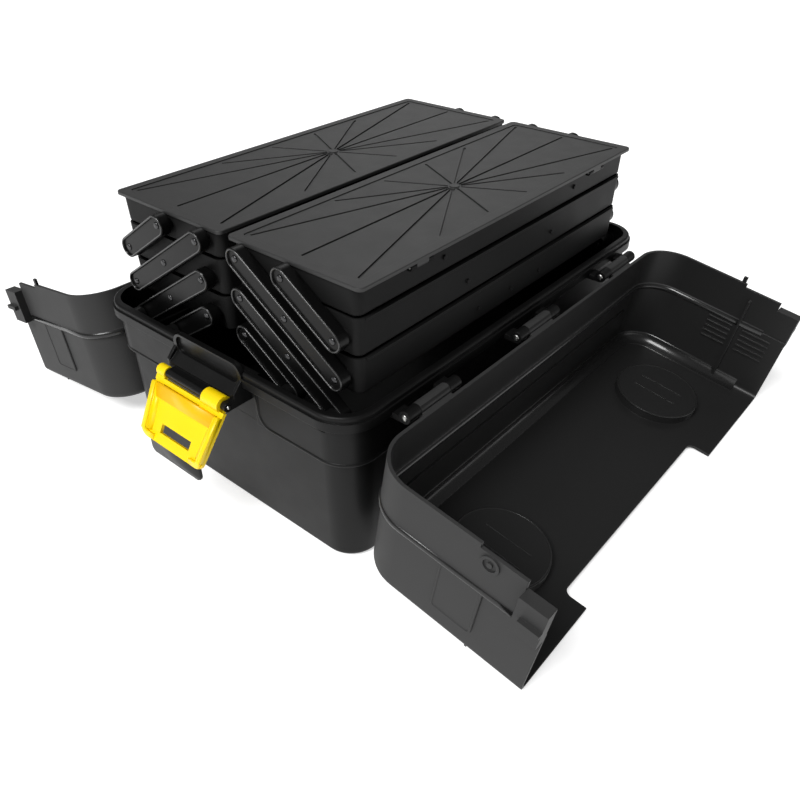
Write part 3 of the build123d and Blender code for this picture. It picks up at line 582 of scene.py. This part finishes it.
def settle_normals(mesh: bpy.types.Mesh, crease: float = 34.0, flat: float = 0.4) -> None:
    """Give a welded CAD mesh the normals of its real surfaces.

    Triangles that lie in one plane form a facet. A corner's normal is the sum of
    the facet normals round its point that turn away by less than the crease
    angle, each weighted with its facet's whole area times its angle there. So
    flat walls stay flat, and a small radius beside a wall runs out into it.

    Args:
        mesh: The mesh, all triangles.
        crease: Angle in degrees past which an edge stays sharp.
        flat: Angle in degrees under which two triangles are one facet.
    """
    corners = len(mesh.loops)
    vertex = np.empty(corners, dtype=np.int64)
    mesh.loops.foreach_get("vertex_index", vertex)
    edge = np.empty(corners, dtype=np.int64)
    mesh.loops.foreach_get("edge_index", edge)
    points = np.empty(len(mesh.vertices) * 3)
    mesh.vertices.foreach_get("co", points)
    triangle = points.reshape(-1, 3)[vertex].reshape(-1, 3, 3)
    cross = np.cross(triangle[:, 1] - triangle[:, 0], triangle[:, 2] - triangle[:, 0])
    double_area = np.linalg.norm(cross, axis=1)
    normal = cross / np.maximum(double_area, TINY)[:, None]

    order = np.argsort(edge, kind="stable")
    first, second = order[0::2] // 3, order[1::2] // 3
    level = np.einsum("ij,ij->i", normal[first], normal[second]) > math.cos(math.radians(flat))
    facet = lowest_labels(len(triangle), first[level], second[level])
    facet_area = np.bincount(facet, double_area, len(triangle))[facet]

    ahead = np.roll(triangle, -1, axis=1) - triangle
    behind = np.roll(triangle, 1, axis=1) - triangle
    cosine = np.einsum("ijk,ijk->ij", ahead, behind)
    cosine /= np.maximum(np.linalg.norm(ahead, axis=2) * np.linalg.norm(behind, axis=2), TINY)
    weight = np.arccos(np.clip(cosine, -1, 1)).reshape(-1) * np.repeat(facet_area, 3)
    corner_normal = np.repeat(normal, 3, axis=0)

    order = np.argsort(vertex, kind="stable")
    number, begin, size = np.unique(vertex[order], return_index=True, return_counts=True)
    repeats = np.repeat(size, size)
    left = np.repeat(np.arange(corners), repeats)
    offset = np.arange(len(left)) - np.repeat(np.cumsum(repeats) - repeats, repeats)
    right = np.repeat(np.repeat(begin, size), repeats) + offset
    left, right = order[left], order[right]
    alike = np.einsum("ij,ij->i", corner_normal[left], corner_normal[right])
    near = alike > math.cos(math.radians(crease))
    left, right = left[near], right[near]
    share = weight[right, None] * corner_normal[right]
    summed = np.stack([np.bincount(left, share[:, axis], corners) for axis in range(3)], axis=1)
    summed /= np.maximum(np.linalg.norm(summed, axis=1), TINY)[:, None]
    mesh.shade_smooth()
    mesh.normals_split_custom_set(summed.tolist())


def mark_outside(mesh: bpy.types.Mesh, value: float | None = None) -> None:
    """Write which faces of a shell lie on its outside, for the finish to read.

    A face is outside when its normal points away from the middle of the shell's box:
    (face centre - middle) . normal > 0.

    Args:
        mesh: The mesh that gets the attribute "outside".
        value: The same value for all faces, instead of the test.
    """
    count = len(mesh.polygons)
    if value is None:
        centre, normal = np.empty(count * 3), np.empty(count * 3)
        mesh.polygons.foreach_get("center", centre)
        mesh.polygons.foreach_get("normal", normal)
        centre, normal = centre.reshape(-1, 3), normal.reshape(-1, 3)
        middle = (centre.min(axis=0) + centre.max(axis=0)) / 2
        outside = (np.einsum("ij,ij->i", centre - middle, normal) > 0).astype(float)
    else:
        outside = np.full(count, value)
    mesh.attributes.new("outside", "FLOAT", "FACE").data.foreach_set("value", outside)


def softened(
    node: str, body: str, material: bpy.types.Material
) -> bpy.types.Object:
    """Copy a CAD node, weld it and give it the normals of its real surfaces.

    Args:
        node: The CAD node that the copy stands for.
        body: The body that it rides on.
        material: Its material.

    Returns:
        The copy, which replaces the node.
    """
    mesh = welded(node)
    settle_normals(mesh)
    mark_outside(mesh)
    piece = bpy.data.objects.new(f"{node}_moulded", mesh)
    bpy.context.scene.collection.objects.link(piece)
    finished(piece, body, material)
    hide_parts(node)
    return piece


def welded(node: str) -> bpy.types.Mesh:
    """Copy a CAD node's mesh and merge its loose triangles.

    Args:
        node: The CAD node.

    Returns:
        The merged copy.
    """
    mesh = FRAME["nodes"][node].data.copy()
    work = bmesh.new()
    work.from_mesh(mesh)
    bmesh.ops.remove_doubles(work, verts=work.verts, dist=WELD_M)
    work.to_mesh(mesh)
    work.free()
    return mesh


def corners_mm(mesh: bpy.types.Mesh) -> np.ndarray:
    """Read a mesh's vertices in millimetres, one row each."""
    points = np.empty(len(mesh.vertices) * 3)
    mesh.vertices.foreach_get("co", points)
    return points.reshape(-1, 3) / MM


def islands(node: str) -> list[tuple[np.ndarray, np.ndarray]]:
    """Find the separate solids of a CAD node.

    Args:
        node: The CAD node.

    Returns:
        The lowest and highest corner of each solid, in millimetres.
    """
    mesh = welded(node)
    points = corners_mm(mesh)
    edges = np.empty(len(mesh.edges) * 2, dtype=np.int64)
    mesh.edges.foreach_get("vertices", edges)
    start, end = edges.reshape(-1, 2).T
    label = lowest_labels(len(points), start, end)
    bpy.data.meshes.remove(mesh)
    solids = [points[label == number] for number in np.unique(label)]
    return [(solid.min(axis=0), solid.max(axis=0)) for solid in solids]


@dataclass
class Studio:
    """White floor, soft lights and the camera of the reference view."""

    camera_mm: tuple[float, float, float] = (455.9, -527.9, 480.5)
    azimuth: float = 40.1
    pitch: float = 35.7
    lens: float = 34.35
    sky_light: float = 0.2
    floor_half_m: float = 30.0
    floor_gap_mm: float = 0.5
    floor_glow: float = 0.55
    suns: tuple[tuple[str, tuple[float, float, float], float, float], ...] = (
        ("front", (0.02, -0.75, 0.95), 2.9, 26),
        ("back", (-0.7, 0.9, 0.8), 0.3, 30),
    )

    def build(self) -> None:
        """Put up the floor, the lights and the camera."""
        scene = bpy.context.scene
        camera = bpy.data.objects.new("camera", bpy.data.cameras.new("camera"))
        camera.data.lens = self.lens
        camera.data.sensor_width = 36.0
        camera.data.clip_start = 0.01
        camera.location = Vector(self.camera_mm) * MM
        camera.rotation_euler = (math.radians(90 - self.pitch), 0, math.radians(self.azimuth))
        scene.collection.objects.link(camera)
        scene.camera = camera
        self._floor()
        for sun in self.suns:
            self._sun(*sun)
        scene.world = self._backdrop()
        scene.view_settings.view_transform = "Standard"

    def _backdrop(self) -> bpy.types.World:
        """Make a white backdrop that lights the scene only weakly.

        Returns:
            The world: strength 1 where it is seen directly, sky_light for all its light.
        """
        world = bpy.data.worlds.new("studio")
        world.use_nodes = True
        tree = world.node_tree
        path = tree.nodes.new("ShaderNodeLightPath")
        strength = tree.nodes.new("ShaderNodeMapRange")
        strength.inputs["To Min"].default_value = self.sky_light
        strength.inputs["To Max"].default_value = 1.0
        tree.links.new(path.outputs["Is Camera Ray"], strength.inputs["Value"])
        backdrop = tree.nodes["Background"]
        backdrop.inputs["Color"].default_value = (1, 1, 1, 1)
        tree.links.new(strength.outputs["Result"], backdrop.inputs["Strength"])
        return world

    def _floor(self) -> None:
        """Lay the pale floor, which glows a little so that shadows stay weak."""
        mesh = bpy.data.meshes.new("floor")
        square = np.array([(-1, -1, 0), (1, -1, 0), (1, 1, 0), (-1, 1, 0)]) * self.floor_half_m
        mesh.from_pydata(square.tolist(), [], [(0, 1, 2, 3)])
        floor = bpy.data.objects.new("floor", mesh)
        bpy.context.scene.collection.objects.link(floor)
        floor.location.z = -self.floor_gap_mm * MM
        paint = bpy.data.materials.new("white_paper")
        paint.use_nodes = True
        shader = paint.node_tree.nodes["Principled BSDF"]
        shader.inputs["Base Color"].default_value = linear("#e2e2e2")
        shader.inputs["Emission Color"].default_value = (1, 1, 1, 1)
        shader.inputs["Emission Strength"].default_value = self.floor_glow
        shader.inputs["Roughness"].default_value = 0.9
        mesh.materials.append(paint)

    def _sun(
        self, name: str, source: tuple[float, float, float], strength: float, spread: float
    ) -> None:
        """Light the scene evenly from one side, as a large distant softbox does.

        Args:
            name: The light's name.
            source: Direction towards the softbox.
            strength: Irradiance in watts per square metre.
            spread: Angle that the softbox fills, in degrees.
        """
        data = bpy.data.lights.new(name, "SUN")
        data.angle = math.radians(spread)
        data.energy = strength
        lamp = bpy.data.objects.new(name, data)
        lamp.rotation_euler = (-Vector(source)).to_track_quat("-Z", "Y").to_euler()
        bpy.context.scene.collection.objects.link(lamp)


@dataclass
class TurnedParts:
    """Rivets and pins turned on a lathe, made in place of the plain solids of one node.

    head is the radius of a rivet's domed head and cap its height; a pin has no head.
    """

    node: str
    body: str
    material: bpy.types.Material
    head: float | None = None
    cap: float = 1.2
    along: str = "y"

    def build(self) -> bpy.types.Object:
        """Turn each solid of the node and join them in one piece."""
        long = "xyz".index(self.along)
        axis = np.eye(3)[long]
        parts = []
        for low, high in islands(self.node):
            length = high[long] - low[long]
            radius = (high[2] - low[2]) / 2
            base = (low + high) / 2 - axis * length / 2
            parts.append(lathe(self._profile(radius, length), axis, base))
        turned = mesh_piece(f"{self.node}_turned", *joined(parts))
        piece = finished(turned, self.body, self.material)
        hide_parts(self.node)
        return piece

    def _profile(self, radius: float, length: float) -> np.ndarray:
        """Radius against height of one rivet or pin.

        A head is a dome: its radius falls as the cosine of the angle and its
        height grows as the sine. A pin without heads has small chamfers.

        Args:
            radius: Largest radius of the solid.
            length: Its whole length.

        Returns:
            Rows of radius and height, from pole to pole.
        """
        if self.head is None:
            ease = min(0.3 * radius, 0.4)
            half = np.array([[0.0, 0.0], [radius - ease, 0.0], [radius, ease]])
        else:
            angle = np.linspace(np.pi / 2, 0.12, 6)
            dome = np.stack([self.head * np.cos(angle), self.cap * (1 - np.sin(angle))], axis=1)
            shank = 0.55 * self.head
            half = np.vstack([dome, [[self.head, self.cap], [shank, self.cap + 0.02]]])
        far = half[::-1] * [1, -1] + [0, length]
        return np.vstack([half, far])


@dataclass
class Shell:
    """The tub with its brackets."""

    palette: Palette
    band_x: float = 152.0
    band_y: float = 225.5
    band_r: float = 29.0
    band_low: float = 102.0
    band_top: float = 137.0
    edge_x: float = 53.0
    edge_r: float = 13.0
    roll_r: float = 2.2
    roll_sunk: float = 1.4
    hinge_head: float = 2.9
    hinge_cap: float = 1.3

    def build(self) -> None:
        """Round and dress the tub and the latch brackets."""
        softened("tub", "base", self.palette.tub)
        self._band_rolls()
        for end in End:
            softened(f"bracket_{end.word}", "base", self.palette.bracket)
            TurnedParts(f"latch_pin_{end.word}", "base", self.palette.steel, along="x").build()
        for side in Side:
            node = f"cover_pins_{side.word}"
            TurnedParts(node, "base", self.palette.steel, self.hinge_head, self.hinge_cap).build()
        TurnedParts("rivets_tub", "base", self.palette.rivet, RIVET_HEAD).build()

    def _band_rolls(self) -> None:
        """Roll the lower edge of the shoulder band, up into the lip beside each latch.

        Beside a latch the walk is a vertical line and a quarter circle in the
        wall's plane: centre minus radius times (cos t, sin t).
        """
        z = self.band_low + self.roll_sunk
        start_x = self.edge_x + self.edge_r
        walk, facing = corner_run(start_x, self.band_x, self.band_y, self.band_r, z)
        t = np.linspace(0, np.pi / 2, 9)
        bend = np.stack(
            [
                self.edge_x + self.edge_r * (1 - np.cos(t)),
                np.full(9, -self.band_y),
                z + self.edge_r * (1 - np.sin(t)),
            ],
            axis=1,
        )
        front = np.vstack([[[self.edge_x, -self.band_y, self.band_top]], bend[:-1]])
        rear = front[::-1] * [1, -1, 1]
        out = np.tile([0.0, -1.0, 0.0], (len(front), 1))
        path = np.vstack([front, walk, rear])
        facing = np.vstack([out, facing, -out])
        points, faces = swept(path, facing, round_profile(self.roll_r, self.roll_sunk))
        for side in Side:
            piece = mesh_piece(f"band_roll_{side.word}", points * [side.value, 1, 1], faces)
            finished(piece, "base", self.palette.tub)
            mark_outside(piece.data, 1.0)


@dataclass
class Covers:
    """Both butterfly covers and the carrying handle.

    Shapes are worked out on the closed right cover and then swung open. Each bead is
    the radius of a rolled edge and the depth of its middle under the wall's face.
    """

    palette: Palette
    half_x: float = 161.0
    half_y: float = 234.4
    corner_r: float = 38.0
    wall: float = 2.8
    step: float = 1.4
    band_h: float = 41.0
    hinge_x: float = 168.8
    hinge_z: float = 141.0
    open_angle: float = 189.0388
    keeper_x: float = 25.0
    puck_x: float = 79.8
    puck_y: float = 145.0
    puck_r: float = 42.0
    puck_z: float = 245.2
    ceiling_z: float = 254.2
    panel_x: float = 66.8
    panel_z: float = 208.0
    panel_y: float = 233.7
    panel_half: tuple[float, float] = (18.0, 27.0)
    panel_r: float = 4.0
    cove_r: float = 11.0
    cove_sunk: float = 0.4
    step_bead: tuple[float, float] = (2.0, 1.65)
    step_drop: float = 1.2
    ledge_bead: tuple[float, float] = (3.6, 2.3)
    ledge_rise: float = 1.4
    panel_bead: tuple[float, float] = (1.1, 0.7)
    puck_bead: tuple[float, float] = (1.5, 0.0)
    puck_ease: float = 1.2

    def build(self) -> None:
        """Round and dress the covers and the handle."""
        for side in Side:
            softened(f"cover_{side.word}", f"cover_{side.word}", self.palette.cover)
            self._rolls(side)
        softened("handle", "handle", self.palette.arm)
        TurnedParts("handle_pins", "cover_left", self.palette.steel).build()

    def _swung(self, points: np.ndarray, side: Side) -> np.ndarray:
        """Swing points of the closed right cover to where they lie on an open cover.

        The left cover is the same moulding turned half round, so X and Y change
        sign first. Then the point turns about the hinge line.

        Args:
            points: Rows of points on the closed right cover.
            side: Which cover.

        Returns:
            The rows at rest.
        """
        turned = points * [side.value, side.value, 1]
        angle = math.radians(self.open_angle) * side.value
        dx = turned[:, 0] - side.value * self.hinge_x
        dz = turned[:, 2] - self.hinge_z
        x = side.value * self.hinge_x + dx * math.cos(angle) + dz * math.sin(angle)
        z = self.hinge_z - dx * math.sin(angle) + dz * math.cos(angle)
        return np.stack([x, turned[:, 1], z], axis=1)

    def _rolls(self, side: Side) -> None:
        """Roll the step and the panels outside, and the ledge, ceiling and pucks inside.

        Args:
            side: Which cover.
        """
        z = self.hinge_z + self.band_h
        walk, facing = corner_run(
            self.keeper_x, self.half_x, self.half_y, self.corner_r, z - self.step_drop
        )
        outer = swept(walk, facing, round_profile(*self.step_bead))
        walk, facing = self._inside_run(z + self.ledge_rise)
        inner = swept(walk, -facing, round_profile(*self.ledge_bead, 16))
        for name, shapes, material in (
            ("step_roll", [outer], self.palette.cover),
            ("panel_beads", [self._panel_bead(end) for end in End], self.palette.cover),
            ("ledge_roll", [inner], self.palette.inside),
            ("ceiling_cove", [self._cove()], self.palette.inside),
            ("puck_rolls", self._puck_rolls(), self.palette.inside),
        ):
            points, faces = joined(shapes)
            piece = mesh_piece(f"{name}_{side.word}", self._swung(points, side), faces)
            finished(piece, f"cover_{side.word}", material)
            mark_outside(piece.data, 1.0)

    def _panel_bead(self, end: End) -> tuple[np.ndarray, list]:
        """Round the edge of the raised panel on one end wall.

        The path is a rectangle whose corners are quarter circles: corner centre plus
        panel_r times (cos t, sin t) in the wall's plane.

        Args:
            end: Which end wall of the closed cover.

        Returns:
            Points and faces.
        """
        quarter = np.arange(4)[:, None] * np.pi / 2 + np.linspace(0, np.pi / 2, 7)
        sign = np.array([(1, 1), (-1, 1), (-1, -1), (1, -1)])
        reach = np.array(self.panel_half) - self.panel_r
        centre = np.array([self.panel_x, self.panel_z]) + sign * reach
        turn = np.stack([np.cos(quarter), np.sin(quarter)], axis=-1)
        flat = (centre[:, None] + self.panel_r * turn).reshape(-1, 2)
        path = np.insert(flat, 1, end.value * self.panel_y, axis=1)
        outward = np.insert(turn.reshape(-1, 2), 1, 0.0, axis=1)
        return swept(path, outward, round_profile(*self.panel_bead, 10), closed=True)

    def _inside_run(self, z: float) -> tuple[np.ndarray, np.ndarray]:
        """Walk along the inside walls above the step.

        Args:
            z: Height of the walk on the closed cover.

        Returns:
            Points of the walk and their outward vectors.
        """
        inset = self.wall + self.step
        return corner_run(
            self.keeper_x, self.half_x - inset, self.half_y - inset, self.corner_r - inset, z
        )

    def _cove(self) -> tuple[np.ndarray, list]:
        """Hollow fillet between the inside walls and the ceiling.

        The profile is the wall's foot, a quarter circle bulging into the corner at the
        point (radius * (1 - cos t), radius * (1 - sin t)) from it, and the corner itself.

        Returns:
            Points and faces.
        """
        walk, facing = self._inside_run(self.ceiling_z)
        t = np.linspace(0, np.pi / 2, 9)
        r, sunk = self.cove_r, self.cove_sunk
        arc = np.stack([-r * (1 - np.cos(t)), r * (1 - np.sin(t))], axis=1)
        corner = np.array([[-r, -sunk], [sunk, -sunk], [sunk, r]])
        return swept(walk, facing, np.vstack([arc, corner]))

    def _puck_rolls(self) -> list[tuple[np.ndarray, list]]:
        """Round the edge of each puck with a ring: its centre plus its radius times (cos t, sin t).

        Returns:
            Points and faces of each ring.
        """
        t = np.linspace(0, 2 * np.pi, 72, endpoint=False)
        facing = np.stack([np.cos(t), np.sin(t), np.zeros(72)], axis=1)
        rings = []
        for y in (-self.puck_y, self.puck_y):
            centre = np.array([self.puck_x, y, self.puck_z + self.puck_ease])
            ring = centre + (self.puck_r - self.puck_ease) * facing
            rings.append(swept(ring, facing, round_profile(*self.puck_bead), closed=True))
        return rings


@dataclass
class Latches:
    """Yellow latch plates with the frame inside them, and their pull tabs.

    Shapes are worked out on the closed front latch, with x across, up from the pin
    and in towards the box, and then swung down. The rear latch is its mirror image.
    """

    palette: Palette
    pin_y: float = 246.0
    pin_z: float = 127.0
    swing: float = 148.0
    thick: float = 3.2
    length: float = 57.0
    half_x: float = 44.0
    taper: float = 6.0
    corner_r: float = 6.0
    rim_h: float = 4.1
    rim_end_x: float = 24.0
    rim_cut: float = 39.0
    rim_fall: float = 0.625
    rim_foot: float = 0.6
    shelf_in: float = 6.0
    shelf: tuple[tuple[float, float], ...] = (
        (10.0, -0.6), (10.0, 2.4), (10.8, 2.9), (21.5, 1.7), (23.4, 0.0), (23.4, -0.6),
    )
    tab_x: float = 33.0
    tab_t: float = 3.0
    tab_from: float = 49.5
    tab_l: float = 14.0
    tab_bend: float = 32.0
    tab_r: float = 5.0
    tab_edge: float = 0.7
    bend_half: float = 1.0

    def build(self) -> None:
        """Round and dress the latches."""
        for end in End:
            body = f"latch_{end.word}"
            softened(body, body, self.palette.latch)
            for name, shape, material in (
                ("rim", joined([self._rim(1), self._rim(-1)]), self.palette.latch),
                # the shelf takes the darker amber: painted shade in the plate's recess
                ("shelf", self._shelf(), self.palette.latch_shelf),
                ("pull_tab", self._tab(), self.palette.bracket),
            ):
                points, faces = shape
                piece = mesh_piece(f"latch_{name}_{end.word}", self._hung(points, end), faces)
                finished(piece, body, material)
                if name == "pull_tab":
                    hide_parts(f"latch_tab_{end.word}")

    def _hung(self, points: np.ndarray, end: End) -> np.ndarray:
        """Swing rows of (x, up, in) on the closed front latch down to where it hangs.

        The pin is the axis: y = -pin_y + in * cos - up * sin, z = pin_z + in * sin + up * cos.

        Args:
            points: The rows.
            end: Which latch; the rear one gets y with its sign changed.

        Returns:
            Rows of x, y and z at rest.
        """
        angle = math.radians(self.swing)
        x, up, inwards = points.T
        y = -self.pin_y + inwards * math.cos(angle) - up * math.sin(angle)
        z = self.pin_z + inwards * math.sin(angle) + up * math.cos(angle)
        return np.stack([x, y * (1 if end is End.FRONT else -1), z], axis=1)

    def _half(self, up: np.ndarray) -> np.ndarray:
        """Half width of the plate at a height above its pin."""
        return self.half_x - self.taper * up / self.length

    def _rim(self, sign: int) -> tuple[np.ndarray, list]:
        """Sloping frame down one side of the plate and round its free corner.

        Towards the free end its height falls off: in is at most rim_cut - rim_fall * up.

        Args:
            sign: 1 for the side with positive x, -1 for the other.

        Returns:
            Points and faces.
        """
        t = np.linspace(0, np.pi / 2, 7)
        side_up = np.array([10.0, 30.0, 50.0])
        top = self.length - self.corner_r
        middle = self._half(self.length) - self.corner_r
        side = np.stack([self._half(side_up), side_up, np.full(3, self.thick)], axis=1)
        round_corner = np.stack([np.cos(t), np.sin(t), np.zeros(7)], axis=1)
        turn = np.array([middle, top, self.thick]) + self.corner_r * round_corner
        last = np.array([[self.rim_end_x, self.length, self.thick]])
        path = np.vstack([side, turn, last])
        facing = np.vstack([np.tile([1.0, 0.0, 0.0], (3, 1)), round_corner, [[0.0, 1.0, 0.0]]])
        # rows of the distance in from the plate's edge and the height above its inner face
        h, foot = self.rim_h, -self.rim_foot
        frame = [(-0.05, foot), (-0.05, h - 0.8), (0.6, h), (4.4, h), (5.2, h - 0.9), (5.7, foot)]
        slope = [(4.6, foot), (4.6, h - 1.0), (10.0, 0.05), (10.0, foot)]
        points, faces = joined(
            [swept(path, facing, -np.array(frame)), swept(side, facing[:3], -np.array(slope))]
        )
        points[:, 2] = np.minimum(points[:, 2], self.rim_cut - self.rim_fall * points[:, 1])
        return points * [sign, 1, 1], faces

    def _shelf(self) -> tuple[np.ndarray, list]:
        """Sloping shelf across the top of the plate.

        The outline's rows of up and in are carried straight across, from -half to half.

        Returns:
            Points and faces.
        """
        up, height = np.array(self.shelf).T
        half, count = self.half_x - self.shelf_in, len(up)
        inwards = height + self.thick
        rows = [np.stack([np.full(count, x), up, inwards], axis=1) for x in (-half, half)]
        caps = [tuple(range(count)), tuple(range(count, 2 * count))]
        return np.vstack(rows), ring_faces(2, count) + caps

    def _tab(self) -> tuple[np.ndarray, list]:
        """Bent pull tab with round corners.

        It is a stack of flat rounded bars along the bent line: at a distance d from
        the free end less than tab_r, the half width shrinks as a quarter circle does.

        Returns:
            Points and faces.
        """
        straight = self.length - self.tab_from
        whole = straight + self.tab_l
        t = np.linspace(0, np.pi / 2, 7)
        before = [0.0, straight - self.bend_half, straight + self.bend_half]
        run = np.concatenate([before, whole - self.tab_r + self.tab_r * np.sin(t)])
        corner = self.tab_x - self.tab_r + self.tab_r * np.cos(t)
        half = np.concatenate([np.full(3, self.tab_x), corner])
        bend = math.radians(self.tab_bend)
        past = np.maximum(run - straight, 0.0)
        up = self.tab_from + np.minimum(run, straight) + past * math.cos(bend)
        inwards = -self.tab_t / 2 - past * math.sin(bend)
        lean = np.where(past > 0, bend, 0.0)
        bar = np.repeat(np.array([(-1, -1), (-1, 1), (1, 1), (1, -1)], dtype=float), 2, axis=0)
        x_cut = np.array([1, 0, 0, 1, 1, 0, 0, 1]) * self.tab_edge
        t_cut = self.tab_edge - x_cut
        x = bar[:, 0] * (half[:, None] - x_cut)
        across = bar[:, 1] * (self.tab_t / 2 - t_cut)
        tilted = lean[:, None]
        points = np.stack(
            [
                x,
                up[:, None] + across * np.sin(tilted),
                inwards[:, None] + across * np.cos(tilted),
            ],
            axis=-1,
        )
        rows, sides = x.shape
        last = (rows - 1) * sides
        caps = [tuple(range(sides)), tuple(range(last, last + sides))]
        return points.reshape(-1, 3), ring_faces(rows, sides) + caps


@dataclass
class TrayStack:
    """Three trays, their lid, arms and rivets on one side."""

    side: Side
    palette: Palette
    levels: tuple[int, ...] = (1, 2, 3)
    arms: str = "abcd"
    arm_w: float = 18.0
    bead_in: float = 1.1
    bead_r: float = 0.8

    def build(self) -> None:
        """Round and dress the whole stack."""
        word = self.side.word
        for level in self.levels:
            tray = f"tray_{word}_{level}"
            softened(tray, tray, self.palette.tray)
            TurnedParts(f"rivets_{word}_{level}", tray, self.palette.rivet, RIVET_HEAD).build()
        softened(f"lid_{word}", f"lid_{word}", self.palette.lid)
        TurnedParts(f"lid_pins_{word}", f"tray_{word}_1", self.palette.steel).build()
        for letter in self.arms:
            body = f"arms_{letter}_{word}"
            for end in End:
                node = f"arm_{letter}_{end.word}_{word}"
                softened(node, body, self.palette.arm)
                self._bead(node, body, end)

    def _bead(self, node: str, body: str, end: End) -> None:
        """Run a raised bead round the outer face of one arm.

        The arm is a bar with round ends. Its line is the long direction of its points,
        and the bead keeps bead_in inside its outline.

        Args:
            node: The arm's CAD node.
            body: The body that it rides on.
            end: The end of the box that it is on.
        """
        mesh = welded(node)
        points = corners_mm(mesh)
        bpy.data.meshes.remove(mesh)
        flat = points[:, [0, 2]]
        low, high = flat.min(axis=0), flat.max(axis=0)
        middle = (low + high) / 2
        half_w = self.arm_w / 2
        reach = (high - low) / 2 - half_w
        slope = 1.0 if np.polyfit(flat[:, 0], flat[:, 1], 1)[0] > 0 else -1.0
        reach = reach * [1.0, slope]
        length = np.linalg.norm(reach)
        along = reach / length
        start = math.atan2(along[1], along[0])
        t = np.linspace(-np.pi / 2, np.pi / 2, 13) + start
        cap = np.stack([np.cos(t), np.sin(t)], axis=1)
        facing = np.vstack([cap, -cap])
        centre = np.vstack([np.tile(middle + reach, (13, 1)), np.tile(middle - reach, (13, 1))])
        ring = centre + (half_w - self.bead_in) * facing
        y = points[:, 1].min() if end is End.FRONT else points[:, 1].max()
        path = np.insert(ring, 1, y, axis=1)
        outward = np.insert(facing, 1, 0.0, axis=1)
        shape = swept(path, outward, round_profile(self.bead_r, 0.0, 10), closed=True)
        # the bead's lighter black is a painted highlight along the arm's border
        finished(mesh_piece(f"{node}_bead", *shape), body, self.palette.bead)


def main() -> None:
    """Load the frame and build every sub-assembly."""
    logging.basicConfig(level=logging.INFO, format="%(message)s")
    FRAME.update(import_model())
    palette = Palette.mixed()
    Studio().build()
    for group in (
        Shell(palette),
        Covers(palette),
        Latches(palette),
        TrayStack(Side.LEFT, palette),
        TrayStack(Side.RIGHT, palette),
    ):
        group.build()
        LOG.info("built %s", type(group).__name__)
    bpy.context.view_layer.update()


if __name__ == "__main__":
    main()
